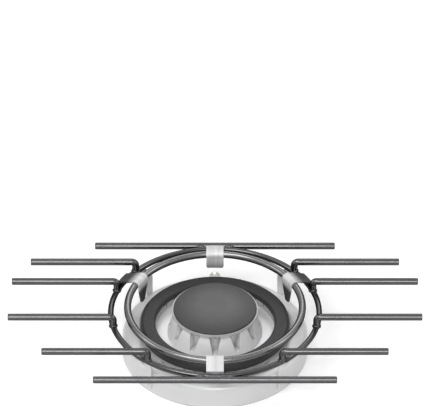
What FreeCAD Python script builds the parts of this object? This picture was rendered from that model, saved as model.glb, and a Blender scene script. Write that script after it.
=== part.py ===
import FreeCAD, Part
import math
import os
import re

import Sketcher

"""Gas wok burner with a wire pan support and a lift-off wok ring.

Millimetres, +Z up, +X to the right, +Y to the back. The floor is z = 0 and the burner axis is the
Z axis. Every size is a cell of the sheet; every piece is an object bound to those cells.
"""

# Name, value and meaning of every driving size.
SIZES = (
    ("bowl_radius", 80.0, "outside of the bowl"),
    ("bowl_height", 22.8, "top of the bowl above the floor"),
    ("bowl_wall", 2.0, "thickness of the bowl"),
    ("bowl_edge", 4.5, "outside rounding of the top edge"),
    ("bowl_foot", 10.0, "width of the inward foot flange"),
    ("cover_thick", 2.0, "thickness of the bottom cover"),
    ("cover_inset", 1.0, "cover edge inside the bowl edge"),
    ("mount_circle", 110.0, "circle of the mounting holes"),
    ("mount_hole", 2.75, "radius of a mounting hole"),
    ("screw_shank", 1.9, "shank radius of the screws"),
    ("screw_head", 3.4, "head radius of the screws"),
    ("screw_high", 1.2, "head height of the screws"),
    ("screw_clear", 0.15, "play around a screw"),
    ("screw_grip", 5.0, "shank length below the head"),
    ("screw_short", 0.3, "casting screws end below the bowl's top"),
    ("cut_over", 1.0, "cuts run past a face by this much"),
    ("thread_clear", 0.05, "play of what is screwed or pushed in"),
    ("body_over", 3.0, "mixing casting beyond the outer crown"),
    ("body_thick", 3.5, "thickness of its plate"),
    ("body_edge", 3.5, "its screws inside its edge"),
    ("inner_boss_wall", 4.65, "wall of the middle boss"),
    ("outer_boss_wall", 3.95, "wall of a side boss"),
    ("inner_neck", 12.0, "outside radius of the inner crown's neck"),
    ("outer_neck", 5.2, "outside radius of an outer crown neck"),
    ("neck_wall", 2.0, "wall of the necks"),
    ("neck_length", 5.5, "depth of the necks below the bowl's top"),
    ("neck_clear", 0.35, "play around a neck"),
    ("inner_throat_step", 5.5, "middle mixing throat inside its neck"),
    ("outer_throat_step", 0.6, "side mixing throat inside its neck"),
    ("rail_over", 6.5, "rail beyond the outer injectors"),
    ("rail_wide", 12.0, "width of the rail"),
    ("rail_high", 6.5, "height of the rail"),
    ("rail_screw", 32.0, "rail screws off the middle"),
    ("stem_gap", 2.0, "inlet boss behind the middle boss"),
    ("inlet_boss", 12.0, "length of the inlet boss"),
    ("inlet_boss_wide", 16.0, "width of the inlet boss"),
    ("inlet_boss_wall", 1.0, "wall of the inlet boss above its bore"),
    ("inlet_boss_gap", 0.9, "inlet boss below the mixing casting"),
    ("inlet_thread", 4.86, "outside radius of the inlet's free thread"),
    ("inlet_shank", 5.2, "radius of the inlet through the bowl and the nut"),
    ("inlet_tube", 3.4, "outside radius of the inlet tube"),
    ("inlet_bore", 2.2, "radius of the gas way"),
    ("inlet_collar", 6.6, "radius of the inlet collar"),
    ("collar_clear", 0.1, "play between the collar and the bowl"),
    ("collar_thick", 4.0, "thickness of the inlet collar"),
    ("inlet_reach", 13.5, "length of the inlet outside the bowl"),
    ("inlet_chamfer", 0.8, "chamfer of the inlet's end"),
    ("inlet_clear", 0.2, "play around the inlet"),
    ("seal_thick", 1.5, "thickness of the inlet seal"),
    ("seal_radius", 8.0, "outside radius of the inlet seal"),
    ("nut_radius", 8.2, "corner radius of the inlet nut"),
    ("nut_thick", 4.0, "thickness of the inlet nut"),
    ("jet_shank", 2.5, "shank radius of an injector"),
    ("jet_corner", 4.0, "corner radius of an injector's hexagon"),
    ("jet_hex", 2.6, "height of an injector's hexagon"),
    ("jet_tip", 2.4, "height of an injector's tip"),
    ("jet_tip_low", 2.8, "radius of an injector's tip at its foot"),
    ("jet_tip_top", 1.8, "radius of an injector's tip at its end"),
    ("jet_hole", 0.7, "radius of an injector's hole"),
    ("jet_gap", 0.4, "bosses above an injector's hexagon"),
    ("jet_seat", 3.0, "depth of an injector in the rail"),
    ("sensor_gap", 3.6, "electrode and thermocouple behind the inner crown"),
    ("sensor_side", 12.0, "electrode and thermocouple off the middle"),
    ("sensor_rise", 13.6, "tips above the bowl"),
    ("spark_radius", 2.4, "radius of the ceramic"),
    ("spark_collar", 3.4, "radius of the ceramic's collar"),
    ("collar_high", 2.2, "height of the ceramic's collar"),
    ("collar_slope", 1.0, "slope above the ceramic's collar"),
    ("spark_tip", 1.56, "radius of the ceramic's tip"),
    ("spark_taper", 3.0, "length of the ceramic's taper"),
    ("spark_bare", 3.0, "bare pin above the ceramic"),
    ("spark_low", 4.0, "ceramic above the bowl's flange"),
    ("pin_low", 1.0, "electrode pin above the bowl's flange"),
    ("spark_pin", 0.8, "radius of the electrode pin"),
    ("clip_outer", 5.0, "radius of the electrode's spring clip"),
    ("clip_thick", 0.8, "thickness of the electrode's spring clip"),
    ("probe_radius", 1.8, "radius of the thermocouple"),
    ("probe_low", 3.0, "thermocouple above the bowl's flange"),
    ("probe_nut", 3.6, "corner radius of the thermocouple nut"),
    ("probe_nut_high", 3.0, "height of the thermocouple nut"),
    ("bowl_shelf", 17.0, "top of the bowl outside the outer crown"),
    ("outer_crown_wide", 11.0, "width of the outer crown"),
    ("outer_crown_high", 6.6, "height of the outer crown"),
    ("outer_crown_wall", 2.2, "wall of the outer crown"),
    ("outer_crown_floor", 1.8, "floor of the outer crown"),
    ("slot_wide", 1.7, "width of a flame slot"),
    ("slot_sill", 2.6, "sill of a flame slot above the bowl"),
    ("slots_out", 44, "flame slots to the outside"),
    ("slots_in", 30, "flame slots to the inside"),
    ("outer_cap_wall", 1.5, "wall of the outer cap's skirt"),
    ("outer_cap_over", 0.4, "outer cap over the crown's inner edge"),
    ("outer_cap_thick", 5.0, "thickness of the outer cap"),
    ("outer_cap_skirt", 1.6, "depth of its skirt over the crown"),
    ("outer_cap_round", 3.4, "rounding of its outer top edge"),
    ("outer_cap_lip", 1.8, "rounding of its inner top edge"),
    ("cap_clear", 0.5, "play of the caps on the crowns"),
    ("cap_rib", 1.6, "depth of the caps' locating ribs"),
    ("crown_gap", 11.0, "room between the two crowns"),
    ("inner_crown_edge", 1.4, "height of its foot edge"),
    ("foot_flare", 3.6, "foot of the inner crown beyond its rim"),
    ("inner_crown_high", 23.6, "height of the inner crown"),
    ("rim_proud", 1.4, "rim beyond the inner cap"),
    ("inner_rim_thick", 1.7, "thickness of the rim"),
    ("chamber_wall", 3.5, "wall between the flutes and the mixing chamber"),
    ("chamber_floor", 2.5, "floor of the chamber"),
    ("flute_deep", 3.0, "depth of a flute below the rim"),
    ("flute_top", 11.0, "width of a flute at the top"),
    ("flute_foot", 4.0, "width of a flute at the bottom"),
    ("flute_sill", 4.6, "bottom of the flutes above the bowl"),
    ("flute_count", 12, "flutes around the crown"),
    ("port_wide", 2.4, "width of a flame port"),
    ("port_high", 6.0, "height of a flame port"),
    ("skirt_inset", 2.0, "skirt below the rim inside the inner cap's edge"),
    ("inner_cap_edge", 1.7, "edge thickness of the inner cap"),
    ("inner_cap_dome", 3.4, "rise of its dome"),
    ("inner_cap_round", 1.2, "rounding of its edge"),
    ("inner_cap_rib", 2.0, "width of its locating rib"),
    ("hoop_out", 10.0, "centre line of the support hoop outside the bowl"),
    ("hoop_rise", 20.6, "hoop centre above the bowl"),
    ("hoop_gap", 12.0, "opening of the hoop at the back"),
    ("hoop_wire", 2.5, "wire of the hoop"),
    ("wire_radius", 3.0, "wire of the bars and fingers"),
    ("bar_over", 14.5, "bars beyond the hoop's centre line"),
    ("weld_bite", 0.6, "depth of the weld between bar and hoop"),
    ("wire_chamfer", 0.6, "chamfer of the wire ends"),
    ("finger_rise", 10.6, "fingers above the hoop"),
    ("finger_foot", 0.9, "end of a finger above the hoop's middle"),
    ("finger_length", 91.0, "length of a finger"),
    ("finger_inside", 0.5, "inside bend of a finger"),
    ("finger_back", 40.1, "degrees of the rear finger behind the X axis"),
    ("finger_rear", 19.5, "degrees of the second finger behind the X axis"),
    ("finger_fore", 13.2, "degrees of the third finger in front of the X axis"),
    ("finger_front", 50.0, "degrees of the front finger in front of the X axis"),
    ("seat_clear", 0.3, "play between lifted pieces and their seats"),
    ("bracket_thick", 1.5, "sheet of the seat brackets"),
    ("bracket_wide", 7.0, "width of a seat bracket"),
    ("bracket_foot", 6.0, "bottom of a bracket above the floor"),
    ("bracket_bend", 2.0, "inside bend of a bracket"),
    ("bracket_lip", 12.0, "lip ends this many degrees below the hoop's middle"),
    ("bracket_turn", 45.0, "brackets off the X axis"),
    ("rivet_height", 11.0, "rivets above the floor"),
    ("rivet_shank", 1.6, "shank radius of a rivet"),
    ("rivet_head", 2.4, "head radius of a rivet"),
    ("rivet_top", 1.4, "radius of a rivet head's flat"),
    ("rivet_tail", 2.0, "tail radius of a rivet"),
    ("rivet_clear", 0.1, "rivet head off its bracket"),
    ("rivet_slack", 0.25, "rivet tail off the bowl's wall"),
    ("rivet_high", 1.2, "head height of a rivet"),
    ("ring_inset", 14.5, "centre line of the wok ring inside the hoop's"),
    ("ring_wire", 3.1, "wire of the wok ring"),
    ("ring_clear", 0.05, "play between ring wire and clip"),
    ("clip_sheet", 1.3, "sheet of the wok ring clips"),
    ("clip_wide", 15.0, "width of a clip"),
    ("clip_tilt", 23.0, "slope of a clip's web"),
    ("lap_short", 30.0, "degrees that the front and back clips reach over the hoop"),
    ("lap_long", 65.0, "degrees that the side clips reach over the hoop"),
    ("clip_turn", 29.0, "side clips behind the X axis"),
    ("tongue_short", 11.5, "tongue of the front and back clips"),
    ("tongue_long", 20.0, "tongue of the side clips"),
    ("tongue_tip", 6.0, "width of a side clip's tongue at its tip"),
    ("tongue_round", 2.0, "rounding of a tongue's corners"),
)

SHEET_NAME = "Sizes"
ALIASES = {name for name, _value, _note in SIZES}
DOC = FreeCAD.newDocument("wok_burner")
PIECES = []

# Shared heights and radii, written as sums of the sizes above.
PLATE_LOW = "(bowl_height - bowl_wall)"
NECK_LOW = "(bowl_height - neck_length)"
BODY_LOW = "(bowl_height - bowl_wall - body_thick)"
BOSS_LOW = "(cover_thick + rail_high + jet_hex + jet_gap)"
BODY_DROP = f"({PLATE_LOW} - {BOSS_LOW})"
BODY_LEDGE = "(bowl_height - neck_length - neck_clear)"
RAIL_TOP = "(cover_thick + rail_high)"
CROWN_OUT = "(bowl_radius - bowl_shelf)"
CROWN_IN = "(bowl_radius - bowl_shelf - outer_crown_wide)"
CHANNEL = "(bowl_radius - bowl_shelf - outer_crown_wide / 2)"
CAP_OUT = f"({CROWN_OUT} + cap_clear + outer_cap_wall)"
CAP_IN = f"({CROWN_IN} - outer_cap_over)"
INNER_FOOT = f"({CROWN_IN} - crown_gap)"
INNER_RIM = f"({INNER_FOOT} - foot_flare)"
INNER_CAP = f"({INNER_RIM} - rim_proud)"
SKIRT = f"({INNER_CAP} - skirt_inset)"
FLUTE_ROOT = f"({SKIRT} - flute_deep)"
CHAMBER = f"({FLUTE_ROOT} - chamber_wall)"
SENSOR_BACK = f"({INNER_FOOT} + sensor_gap)"
SENSOR_TOP = "(bowl_height + sensor_rise)"
FOOT_CIRCLE = "(bowl_radius - bowl_foot / 2)"
BODY_RADIUS = f"({CROWN_OUT} + body_over)"
BODY_CIRCLE = f"({CROWN_OUT} + body_over - body_edge)"
INNER_BOSS = "(inner_neck + neck_clear + inner_boss_wall)"
OUTER_BOSS = "(outer_neck + neck_clear + outer_boss_wall)"
INNER_THROAT = "(inner_neck - inner_throat_step)"
OUTER_THROAT = "(outer_neck - outer_throat_step)"
RAIL_HALF = f"({CHANNEL} + rail_over)"
STEM_END = f"({INNER_BOSS} + stem_gap + inlet_boss)"
INLET_Z = f"({BODY_LOW} - inlet_boss_gap - inlet_boss_wall - inlet_tube)"
HOOP = "(bowl_radius + hoop_out)"
RING = "(bowl_radius + hoop_out - ring_inset)"
BAR_HALF = f"({HOOP} + bar_over)"
FINGER_BEND = "(wire_radius + finger_inside)"
OUTER_SEAT = "(bowl_height + outer_crown_high)"
OUTER_TOP = "(bowl_height + outer_crown_high + outer_cap_thick)"
INNER_SEAT = "(bowl_height + inner_crown_high)"
RIM_LOW = "(bowl_height + inner_crown_high - inner_rim_thick)"
HOOP_Z = "(bowl_height + hoop_rise)"
FINGER_Z = "(bowl_height + hoop_rise + finger_rise)"
BAR_Y = f"({HOOP} + hoop_wire + wire_radius - weld_bite)"
CLIP_INNER = "(ring_wire + ring_clear)"
CLIP_OUTER = "(ring_wire + ring_clear + clip_sheet)"
SEAT_INNER = "(hoop_wire + seat_clear)"
SEAT_OUTER = "(hoop_wire + seat_clear + clip_sheet)"
CLIP_STEP = "(hoop_wire + seat_clear - ring_wire - ring_clear)"
WEB = f"((ring_inset + {CLIP_STEP} * sin(clip_tilt)) / cos(clip_tilt))"
RING_RISE = f"({WEB} * sin(clip_tilt) + {CLIP_STEP} * cos(clip_tilt))"
RING_Z = f"(bowl_height + hoop_rise + {RING_RISE})"
COLLAR_FACE = "(sqrt((bowl_radius - bowl_wall)^2 - inlet_collar^2) - collar_clear)"


def make_sheet():
    """Writes the sizes into a sheet, one named cell each."""
    sheet = DOC.addObject("Spreadsheet::Sheet", SHEET_NAME)
    for row, (name, value, note) in enumerate(SIZES, start=1):
        sheet.set(f"A{row}", name)
        sheet.set(f"B{row}", str(value))
        sheet.setAlias(f"B{row}", name)
        sheet.set(f"C{row}", note)
    DOC.recompute()
    return sheet


SHEET = make_sheet()


def full(text):
    """Names of sizes in a sum, written as cells of the sheet."""
    def cell(match):
        word = match.group(0)
        return f"{SHEET_NAME}.{word}" if word in ALIASES else word
    return re.sub(r"[a-z_]+", cell, text)


def number(text):
    """Value of a sum of sizes."""
    value = SHEET.evalExpression(full(text))
    return float(getattr(value, "Value", value))


def bind(item, prop, text):
    """Ties one property of an object to a sum of sizes."""
    item.setExpression(prop, full(text))


def keep(item, label):
    """Takes an object as a finished piece under its node name."""
    item.Label = label
    PIECES.append(item)
    return item


def place(item, x="0", y="0", z="0"):
    """Moves an object to a place given by sums of sizes."""
    for axis, text in zip("xyz", (x, y, z)):
        if text != "0":
            bind(item, f"Placement.Base.{axis}", text)


def turn(item, axis, text):
    """Turns an object about an axis through the origin."""
    item.Placement = FreeCAD.Placement(FreeCAD.Vector(), FreeCAD.Rotation(axis, number(text)))
    bind(item, "Placement.Rotation.Angle", text)


AXIS_X = FreeCAD.Vector(1, 0, 0)
AXIS_Y = FreeCAD.Vector(0, 1, 0)
AXIS_Z = FreeCAD.Vector(0, 0, 1)


# Sketches: every corner is held by two sizes, every arc by a radius.

def origin_item(body, role):
    """Plane or axis of a body's own origin."""
    for item in body.Origin.OriginFeatures:
        if item.Role == role:
            return item
    raise RuntimeError(f"no {role}")


def new_sketch(body, role, offset="0"):
    """Empty sketch on one of the body's planes, moved along the plane's normal."""
    sketch = body.newObject("Sketcher::SketchObject", "Sketch")
    sketch.AttachmentSupport = [(origin_item(body, role), "")]
    sketch.MapMode = "FlatFace"
    if offset != "0":
        bind(sketch, "AttachmentOffset.Base.z", offset)
    return sketch


def hold(sketch, kind, args, text, name):
    """Adds one dimension and ties it to a sum of sizes."""
    index = sketch.addConstraint(Sketcher.Constraint(kind, *args, number(text)))
    sketch.renameConstraint(index, name)
    bind(sketch, f"Constraints.{name}", text)


def pin(sketch, edge, point, x, y):
    """Holds a point of an edge at x, y."""
    if x == "0":
        sketch.addConstraint(Sketcher.Constraint("PointOnObject", edge, point, -2))
    else:
        hold(sketch, "DistanceX", (-1, 1, edge, point), x, f"x{edge}_{point}")
    if y == "0":
        sketch.addConstraint(Sketcher.Constraint("PointOnObject", edge, point, -1))
    else:
        hold(sketch, "DistanceY", (-1, 1, edge, point), y, f"y{edge}_{point}")


def arc_between(start, end, radius, way):
    """Arc from start to end, turning left or right, shorter than a half circle."""
    chord = end.sub(start)
    rise = math.sqrt(max(radius ** 2 - (chord.Length / 2) ** 2, 0.0))
    side = FreeCAD.Vector(-chord.y, chord.x, 0).normalize()
    sign = 1.0 if way == "left" else -1.0
    centre = start.add(end).multiply(0.5).add(side.multiply(sign * rise))
    first, last = (start, end) if way == "left" else (end, start)
    low = math.atan2(first.y - centre.y, first.x - centre.x)
    high = math.atan2(last.y - centre.y, last.x - centre.x)
    if high < low:
        high += 2 * math.pi
    return Part.ArcOfCircle(Part.Circle(centre, AXIS_Z, radius), low, high)


def draw(sketch, corners, closed=True):
    """Draws an outline; a corner is (x, y), or (x, y, radius, way) at the end of an arc."""
    points = [FreeCAD.Vector(number(item[0]), number(item[1]), 0) for item in corners]
    first_edge = sketch.GeometryCount
    steps = range(len(corners)) if closed else range(1, len(corners))
    ends = []
    for step in steps:
        corner = corners[step]
        start, end = points[step - 1], points[step]
        if len(corner) == 2:
            sketch.addGeometry(Part.LineSegment(start, end), False)
            ends.append((1, 2))
        else:
            sketch.addGeometry(arc_between(start, end, number(corner[2]), corner[3]), False)
            ends.append((1, 2) if corner[3] == "left" else (2, 1))
    count = len(ends)
    for index in range(count if closed else count - 1):
        following = (index + 1) % count
        sketch.addConstraint(Sketcher.Constraint(
            "Coincident", first_edge + index, ends[index][1],
            first_edge + following, ends[following][0]))
    for index, step in enumerate(steps):
        corner = corners[step]
        edge = first_edge + index
        pin(sketch, edge, ends[index][1], corner[0], corner[1])
        if len(corner) == 4:
            hold(sketch, "Radius", (edge,), corner[2], f"r{edge}")
    if not closed:
        pin(sketch, first_edge, ends[0][0], corners[0][0], corners[0][1])


def draw_circle(sketch, x, y, radius):
    """Circle held by its centre and radius."""
    edge = sketch.addGeometry(
        Part.Circle(FreeCAD.Vector(number(x), number(y), 0), AXIS_Z, number(radius)), False)
    pin(sketch, edge, 3, x, y)
    hold(sketch, "Radius", (edge,), radius, f"r{edge}")


# Features of a body.

def new_body(label):
    """Body of one piece."""
    return keep(DOC.addObject("PartDesign::Body", label), label)


def spin(body, sketch, angle="360", cut=False):
    """Turns a sketch about the Z axis, evenly to both sides of the sketch."""
    kind = "PartDesign::Groove" if cut else "PartDesign::Revolution"
    before = body.Shape.Volume if cut else 0.0
    feature = body.newObject(kind, "Spin")
    feature.Profile = (sketch, [""])
    feature.ReferenceAxis = (sketch, ["V_Axis"])
    feature.Midplane = angle != "360"
    bind(feature, "Angle", angle)
    DOC.recompute()
    if cut and body.Shape.Volume >= before:
        raise RuntimeError(f"{body.Label}: the groove cut nothing")
    return feature


def lathe(body, corners, angle="360"):
    """Turned solid from an outline of radius and height."""
    sketch = new_sketch(body, "XZ_Plane")
    draw(sketch, corners)
    return spin(body, sketch, angle)


def pad(body, sketch, length, both=False, down=False):
    """Raises a sketch to a solid."""
    feature = body.newObject("PartDesign::Pad", "Pad")
    feature.Profile = (sketch, [""])
    feature.Midplane = both
    feature.Reversed = down
    bind(feature, "Length", length)
    DOC.recompute()
    return feature


def pocket(body, sketch, length, along=False, both=False):
    """Cuts a sketch into the body, against the sketch's normal, along it or both ways."""
    before = body.Shape.Volume
    feature = body.newObject("PartDesign::Pocket", "Pocket")
    feature.Profile = (sketch, [""])
    feature.Reversed = along
    feature.Midplane = both
    bind(feature, "Length", length)
    DOC.recompute()
    if body.Shape.Volume >= before:
        raise RuntimeError(f"{body.Label}: the pocket cut nothing")
    return feature


def around(body, features, count):
    """Repeats features evenly around the Z axis."""
    before = body.Shape.Volume
    pattern = body.newObject("PartDesign::PolarPattern", "Around")
    pattern.Originals = features
    pattern.Axis = (origin_item(body, "Z_Axis"), [""])
    pattern.Angle = 360
    bind(pattern, "Occurrences", count)
    body.Tip = pattern
    DOC.recompute()
    if body.Shape.Volume >= before:
        raise RuntimeError(f"{body.Label}: the pattern cut nothing")
    return pattern


def soften(body, kind, size, test):
    """Fillet or chamfer on the edges that pass a test."""
    base = body.Tip
    names = [f"Edge{i}" for i, edge in enumerate(base.Shape.Edges, start=1) if test(edge)]
    if not names:
        raise RuntimeError(f"{body.Label}: no edge to soften")
    feature = body.newObject(f"PartDesign::{kind}", kind)
    feature.Base = (base, names)
    bind(feature, "Radius" if kind == "Fillet" else "Size", size)
    DOC.recompute()
    return feature


def holes(body, spots, radius, length, start="0"):
    """Round holes upward from a height, at places (x, y)."""
    sketch = new_sketch(body, "XY_Plane", start)
    for x, y in spots:
        draw_circle(sketch, x, y, radius)
    return pocket(body, sketch, length, along=True)


# Solids from primitives.

def rod(radius, height, x="0", y="0", z="0"):
    """Upright cylinder."""
    item = DOC.addObject("Part::Cylinder", "Rod")
    bind(item, "Radius", radius)
    bind(item, "Height", height)
    place(item, x, y, z)
    return item


def hexagon(corner, height, x="0", y="0", z="0"):
    """Upright hexagonal prism."""
    item = DOC.addObject("Part::Prism", "Hexagon")
    item.Polygon = 6
    bind(item, "Circumradius", corner)
    bind(item, "Height", height)
    place(item, x, y, z)
    return item


def cone(low, high, height, x="0", y="0", z="0"):
    """Upright cone."""
    item = DOC.addObject("Part::Cone", "Cone")
    bind(item, "Radius1", low)
    bind(item, "Radius2", high)
    bind(item, "Height", height)
    place(item, x, y, z)
    return item


def box(length, width, height, x="0", y="0", z="0"):
    """Box from its lowest corner."""
    item = DOC.addObject("Part::Box", "Box")
    bind(item, "Length", length)
    bind(item, "Width", width)
    bind(item, "Height", height)
    place(item, x, y, z)
    return item


def joined(items):
    """One solid of several."""
    item = DOC.addObject("Part::MultiFuse", "Joined")
    item.Shapes = items
    item.Refine = True
    return item


def minus(base, tool):
    """Base without the tool."""
    item = DOC.addObject("Part::Cut", "Minus")
    item.Base = base
    item.Tool = tool
    return item


def group(items, label):
    """Separate solids under one node name."""
    item = DOC.addObject("Part::Compound", label)
    item.Links = items
    return keep(item, label)


def corners_of(circle):
    """Four places at 45 degrees on a circle of that radius."""
    leg = f"({circle} * sin(45))"
    return [(leg, leg), (f"-{leg}", leg), (f"-{leg}", f"-{leg}"), (leg, f"-{leg}")]


COVER_SPOTS = corners_of(FOOT_CIRCLE)
BODY_SPOTS = corners_of(BODY_CIRCLE)
RAIL_SPOTS = [("rail_screw", "0"), ("-rail_screw", "0")]
OUTER_SPOTS = [(CHANNEL, "0"), (f"-{CHANNEL}", "0")]


# Base: bowl, cover, mixing casting and gas supply.

def make_bowl():
    """Pressed bowl with its foot flange and all its holes."""
    body = new_body("burner_bowl")
    foot = "(bowl_radius - bowl_foot)"
    inside = "(bowl_radius - bowl_wall)"
    shoulder = "(bowl_radius - bowl_edge)"
    middle = "(inner_neck + neck_clear)"
    lathe(body, [
        (foot, "cover_thick"), ("bowl_radius", "cover_thick"),
        ("bowl_radius", "bowl_height - bowl_edge"),
        (shoulder, "bowl_height", "bowl_edge", "left"),
        (middle, "bowl_height"), (middle, PLATE_LOW), (shoulder, PLATE_LOW),
        (inside, "bowl_height - bowl_edge", "bowl_edge - bowl_wall", "right"),
        (inside, "cover_thick + bowl_wall"), (foot, "cover_thick + bowl_wall")])
    above = "(bowl_height - 2 * bowl_wall)"
    through = "(3 * bowl_wall)"
    holes(body, OUTER_SPOTS, "outer_neck + neck_clear", through, above)
    holes(body, [("-sensor_side", SENSOR_BACK)], "spark_radius + screw_clear", through, above)
    holes(body, [("sensor_side", SENSOR_BACK)], "probe_radius + screw_clear", through, above)
    holes(body, BODY_SPOTS, "screw_shank + screw_clear", through, above)
    holes(body, COVER_SPOTS, "screw_shank + screw_clear", "cover_thick + bowl_wall + cut_over")
    inlet = new_sketch(body, "XZ_Plane")
    draw_circle(inlet, "0", INLET_Z, "inlet_shank + inlet_clear")
    pocket(body, inlet, "bowl_radius + cut_over")
    for angle in ("bracket_turn", "-bracket_turn"):
        across = new_sketch(body, "YZ_Plane")
        across.AttachmentOffset = FreeCAD.Placement(
            FreeCAD.Vector(), FreeCAD.Rotation(AXIS_Y, number(angle)))
        bind(across, "AttachmentOffset.Rotation.Angle", angle)
        draw_circle(across, "0", "rivet_height", "rivet_shank + screw_clear")
        pocket(body, across, "2 * (bowl_radius + cut_over)", both=True)
    return body


def make_cover():
    """Flat bottom with counterbored screw holes and mounting holes."""
    body = new_body("bottom_cover")
    sketch = new_sketch(body, "XY_Plane")
    draw_circle(sketch, "0", "0", "bowl_radius - cover_inset")
    pad(body, sketch, "cover_thick")
    spots = COVER_SPOTS + RAIL_SPOTS
    holes(body, spots, "screw_shank + screw_clear", "cover_thick + cut_over")
    holes(body, spots, "screw_head + screw_clear", "screw_high + screw_clear")
    holes(body, corners_of("(mount_circle / 2)"), "mount_hole", "cover_thick + cut_over")
    return body


def screws(label, spots, grip, seat):
    """Cheese-head screws whose heads end below a seat and whose shanks go up from it."""
    made = []
    for x, y in spots:
        head = rod("screw_head", "screw_high", x, y, f"{seat} - screw_high")
        shank = rod("screw_shank", grip, x, y, seat)
        made.append(joined([head, shank]))
    return group(made, label)


def make_mixing_body():
    """Casting below the bowl's top plate, with one mixing throat for each gas way."""
    body = new_body("mixing_body")
    bore = "(inner_neck + neck_clear)"
    lathe(body, [
        (INNER_THROAT, BOSS_LOW), (INNER_BOSS, BOSS_LOW), (INNER_BOSS, BODY_LOW),
        (BODY_RADIUS, BODY_LOW), (BODY_RADIUS, PLATE_LOW), (bore, PLATE_LOW),
        (bore, BODY_LEDGE), (INNER_THROAT, BODY_LEDGE)])
    bosses = new_sketch(body, "XY_Plane", BOSS_LOW)
    for x, y in OUTER_SPOTS:
        draw_circle(bosses, x, y, OUTER_BOSS)
    pad(body, bosses, BODY_DROP)
    holes(body, OUTER_SPOTS, OUTER_THROAT, f"{BODY_DROP} + cut_over", BOSS_LOW)
    holes(body, OUTER_SPOTS, "outer_neck + neck_clear", BODY_DROP, BODY_LEDGE)
    holes(body, [("-sensor_side", SENSOR_BACK)], "spark_radius + screw_clear",
          BODY_DROP, BOSS_LOW)
    holes(body, [("sensor_side", SENSOR_BACK)], "probe_radius + screw_clear",
          BODY_DROP, BOSS_LOW)
    holes(body, BODY_SPOTS, "screw_shank + screw_clear", BODY_DROP, BOSS_LOW)
    return body


def make_rail():
    """T-shaped injector rail with the inlet boss at the end of its stem."""
    bar = box(f"2 * {RAIL_HALF}", "rail_wide", "rail_high", f"-{RAIL_HALF}", "-rail_wide / 2",
              "cover_thick")
    stem = box("rail_wide", STEM_END, "rail_high", "-rail_wide / 2", "0", "cover_thick")
    boss_high = f"({INLET_Z} + inlet_tube + inlet_boss_wall - cover_thick)"
    boss = box("inlet_boss_wide", "inlet_boss", boss_high, "-inlet_boss_wide / 2",
               f"{STEM_END} - inlet_boss", "cover_thick")
    tools = []
    for x, y in [("0", "0")] + OUTER_SPOTS:
        tools.append(rod("jet_shank + thread_clear", "jet_seat + cut_over", x, y, f"{RAIL_TOP} - jet_seat"))
    for x, y in RAIL_SPOTS:
        tools.append(rod("screw_shank + thread_clear", "screw_grip", x, y))
    seat = rod("inlet_tube + thread_clear", "inlet_boss")
    turn(seat, AXIS_X, "-90")
    place(seat, "0", f"{STEM_END} - inlet_boss / 2", INLET_Z)
    tools.append(seat)
    return keep(minus(joined([bar, stem, boss]), joined(tools)), "injector_rail")


def injector(x, y):
    """Brass injector: shank in the rail, hexagon, tip and gas hole."""
    shank = rod("jet_shank", "jet_seat", x, y, f"{RAIL_TOP} - jet_seat")
    key = hexagon("jet_corner", "jet_hex", x, y, RAIL_TOP)
    tip = cone("jet_tip_low", "jet_tip_top", "jet_tip", x, y, f"{RAIL_TOP} + jet_hex")
    way = rod("jet_hole", "jet_seat + jet_hex + jet_tip + 2 * cut_over", x, y,
              f"{RAIL_TOP} - jet_seat - cut_over")
    return minus(joined([shank, key, tip]), way)


def make_inlet():
    """Gas inlet union through the back of the bowl, with its seal and lock nut."""
    body = new_body("gas_inlet")
    root = f"({STEM_END} - inlet_boss / 2)"
    nut_end = "(bowl_radius + seal_thick + nut_thick)"
    end = "(bowl_radius + inlet_reach)"
    lathe(body, [
        ("inlet_bore", root), ("inlet_tube", root), ("inlet_tube", f"{COLLAR_FACE} - collar_thick"),
        ("inlet_collar", f"{COLLAR_FACE} - collar_thick"), ("inlet_collar", COLLAR_FACE),
        ("inlet_shank", COLLAR_FACE), ("inlet_shank", nut_end), ("inlet_thread", nut_end),
        ("inlet_thread", end), ("inlet_bore", end)])
    soften(body, "Chamfer", "inlet_chamfer",
           lambda edge: is_ring(edge, number("inlet_thread"), number(end)))
    turn(body, AXIS_X, "-90")
    place(body, "0", "0", INLET_Z)
    hole = "(inlet_shank + inlet_clear)"
    seal = minus(rod("seal_radius", "seal_thick"), rod(hole, "seal_thick"))
    turn(seal, AXIS_X, "-90")
    place(seal, "0", "bowl_radius", INLET_Z)
    keep(seal, "inlet_seal")
    nut = minus(hexagon("nut_radius", "nut_thick"), rod(hole, "nut_thick"))
    turn(nut, AXIS_X, "-90")
    place(nut, "0", "bowl_radius + seal_thick", INLET_Z)
    keep(nut, "inlet_nut")


def is_ring(edge, radius, height):
    """Whether an edge is a circle of that radius at that height."""
    if edge.Degenerated:
        return False
    curve = edge.Curve
    return (isinstance(curve, Part.Circle) and abs(curve.Radius - radius) < 1e-3
            and abs(edge.CenterOfMass.z - height) < 1e-3 and edge.isClosed())


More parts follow.
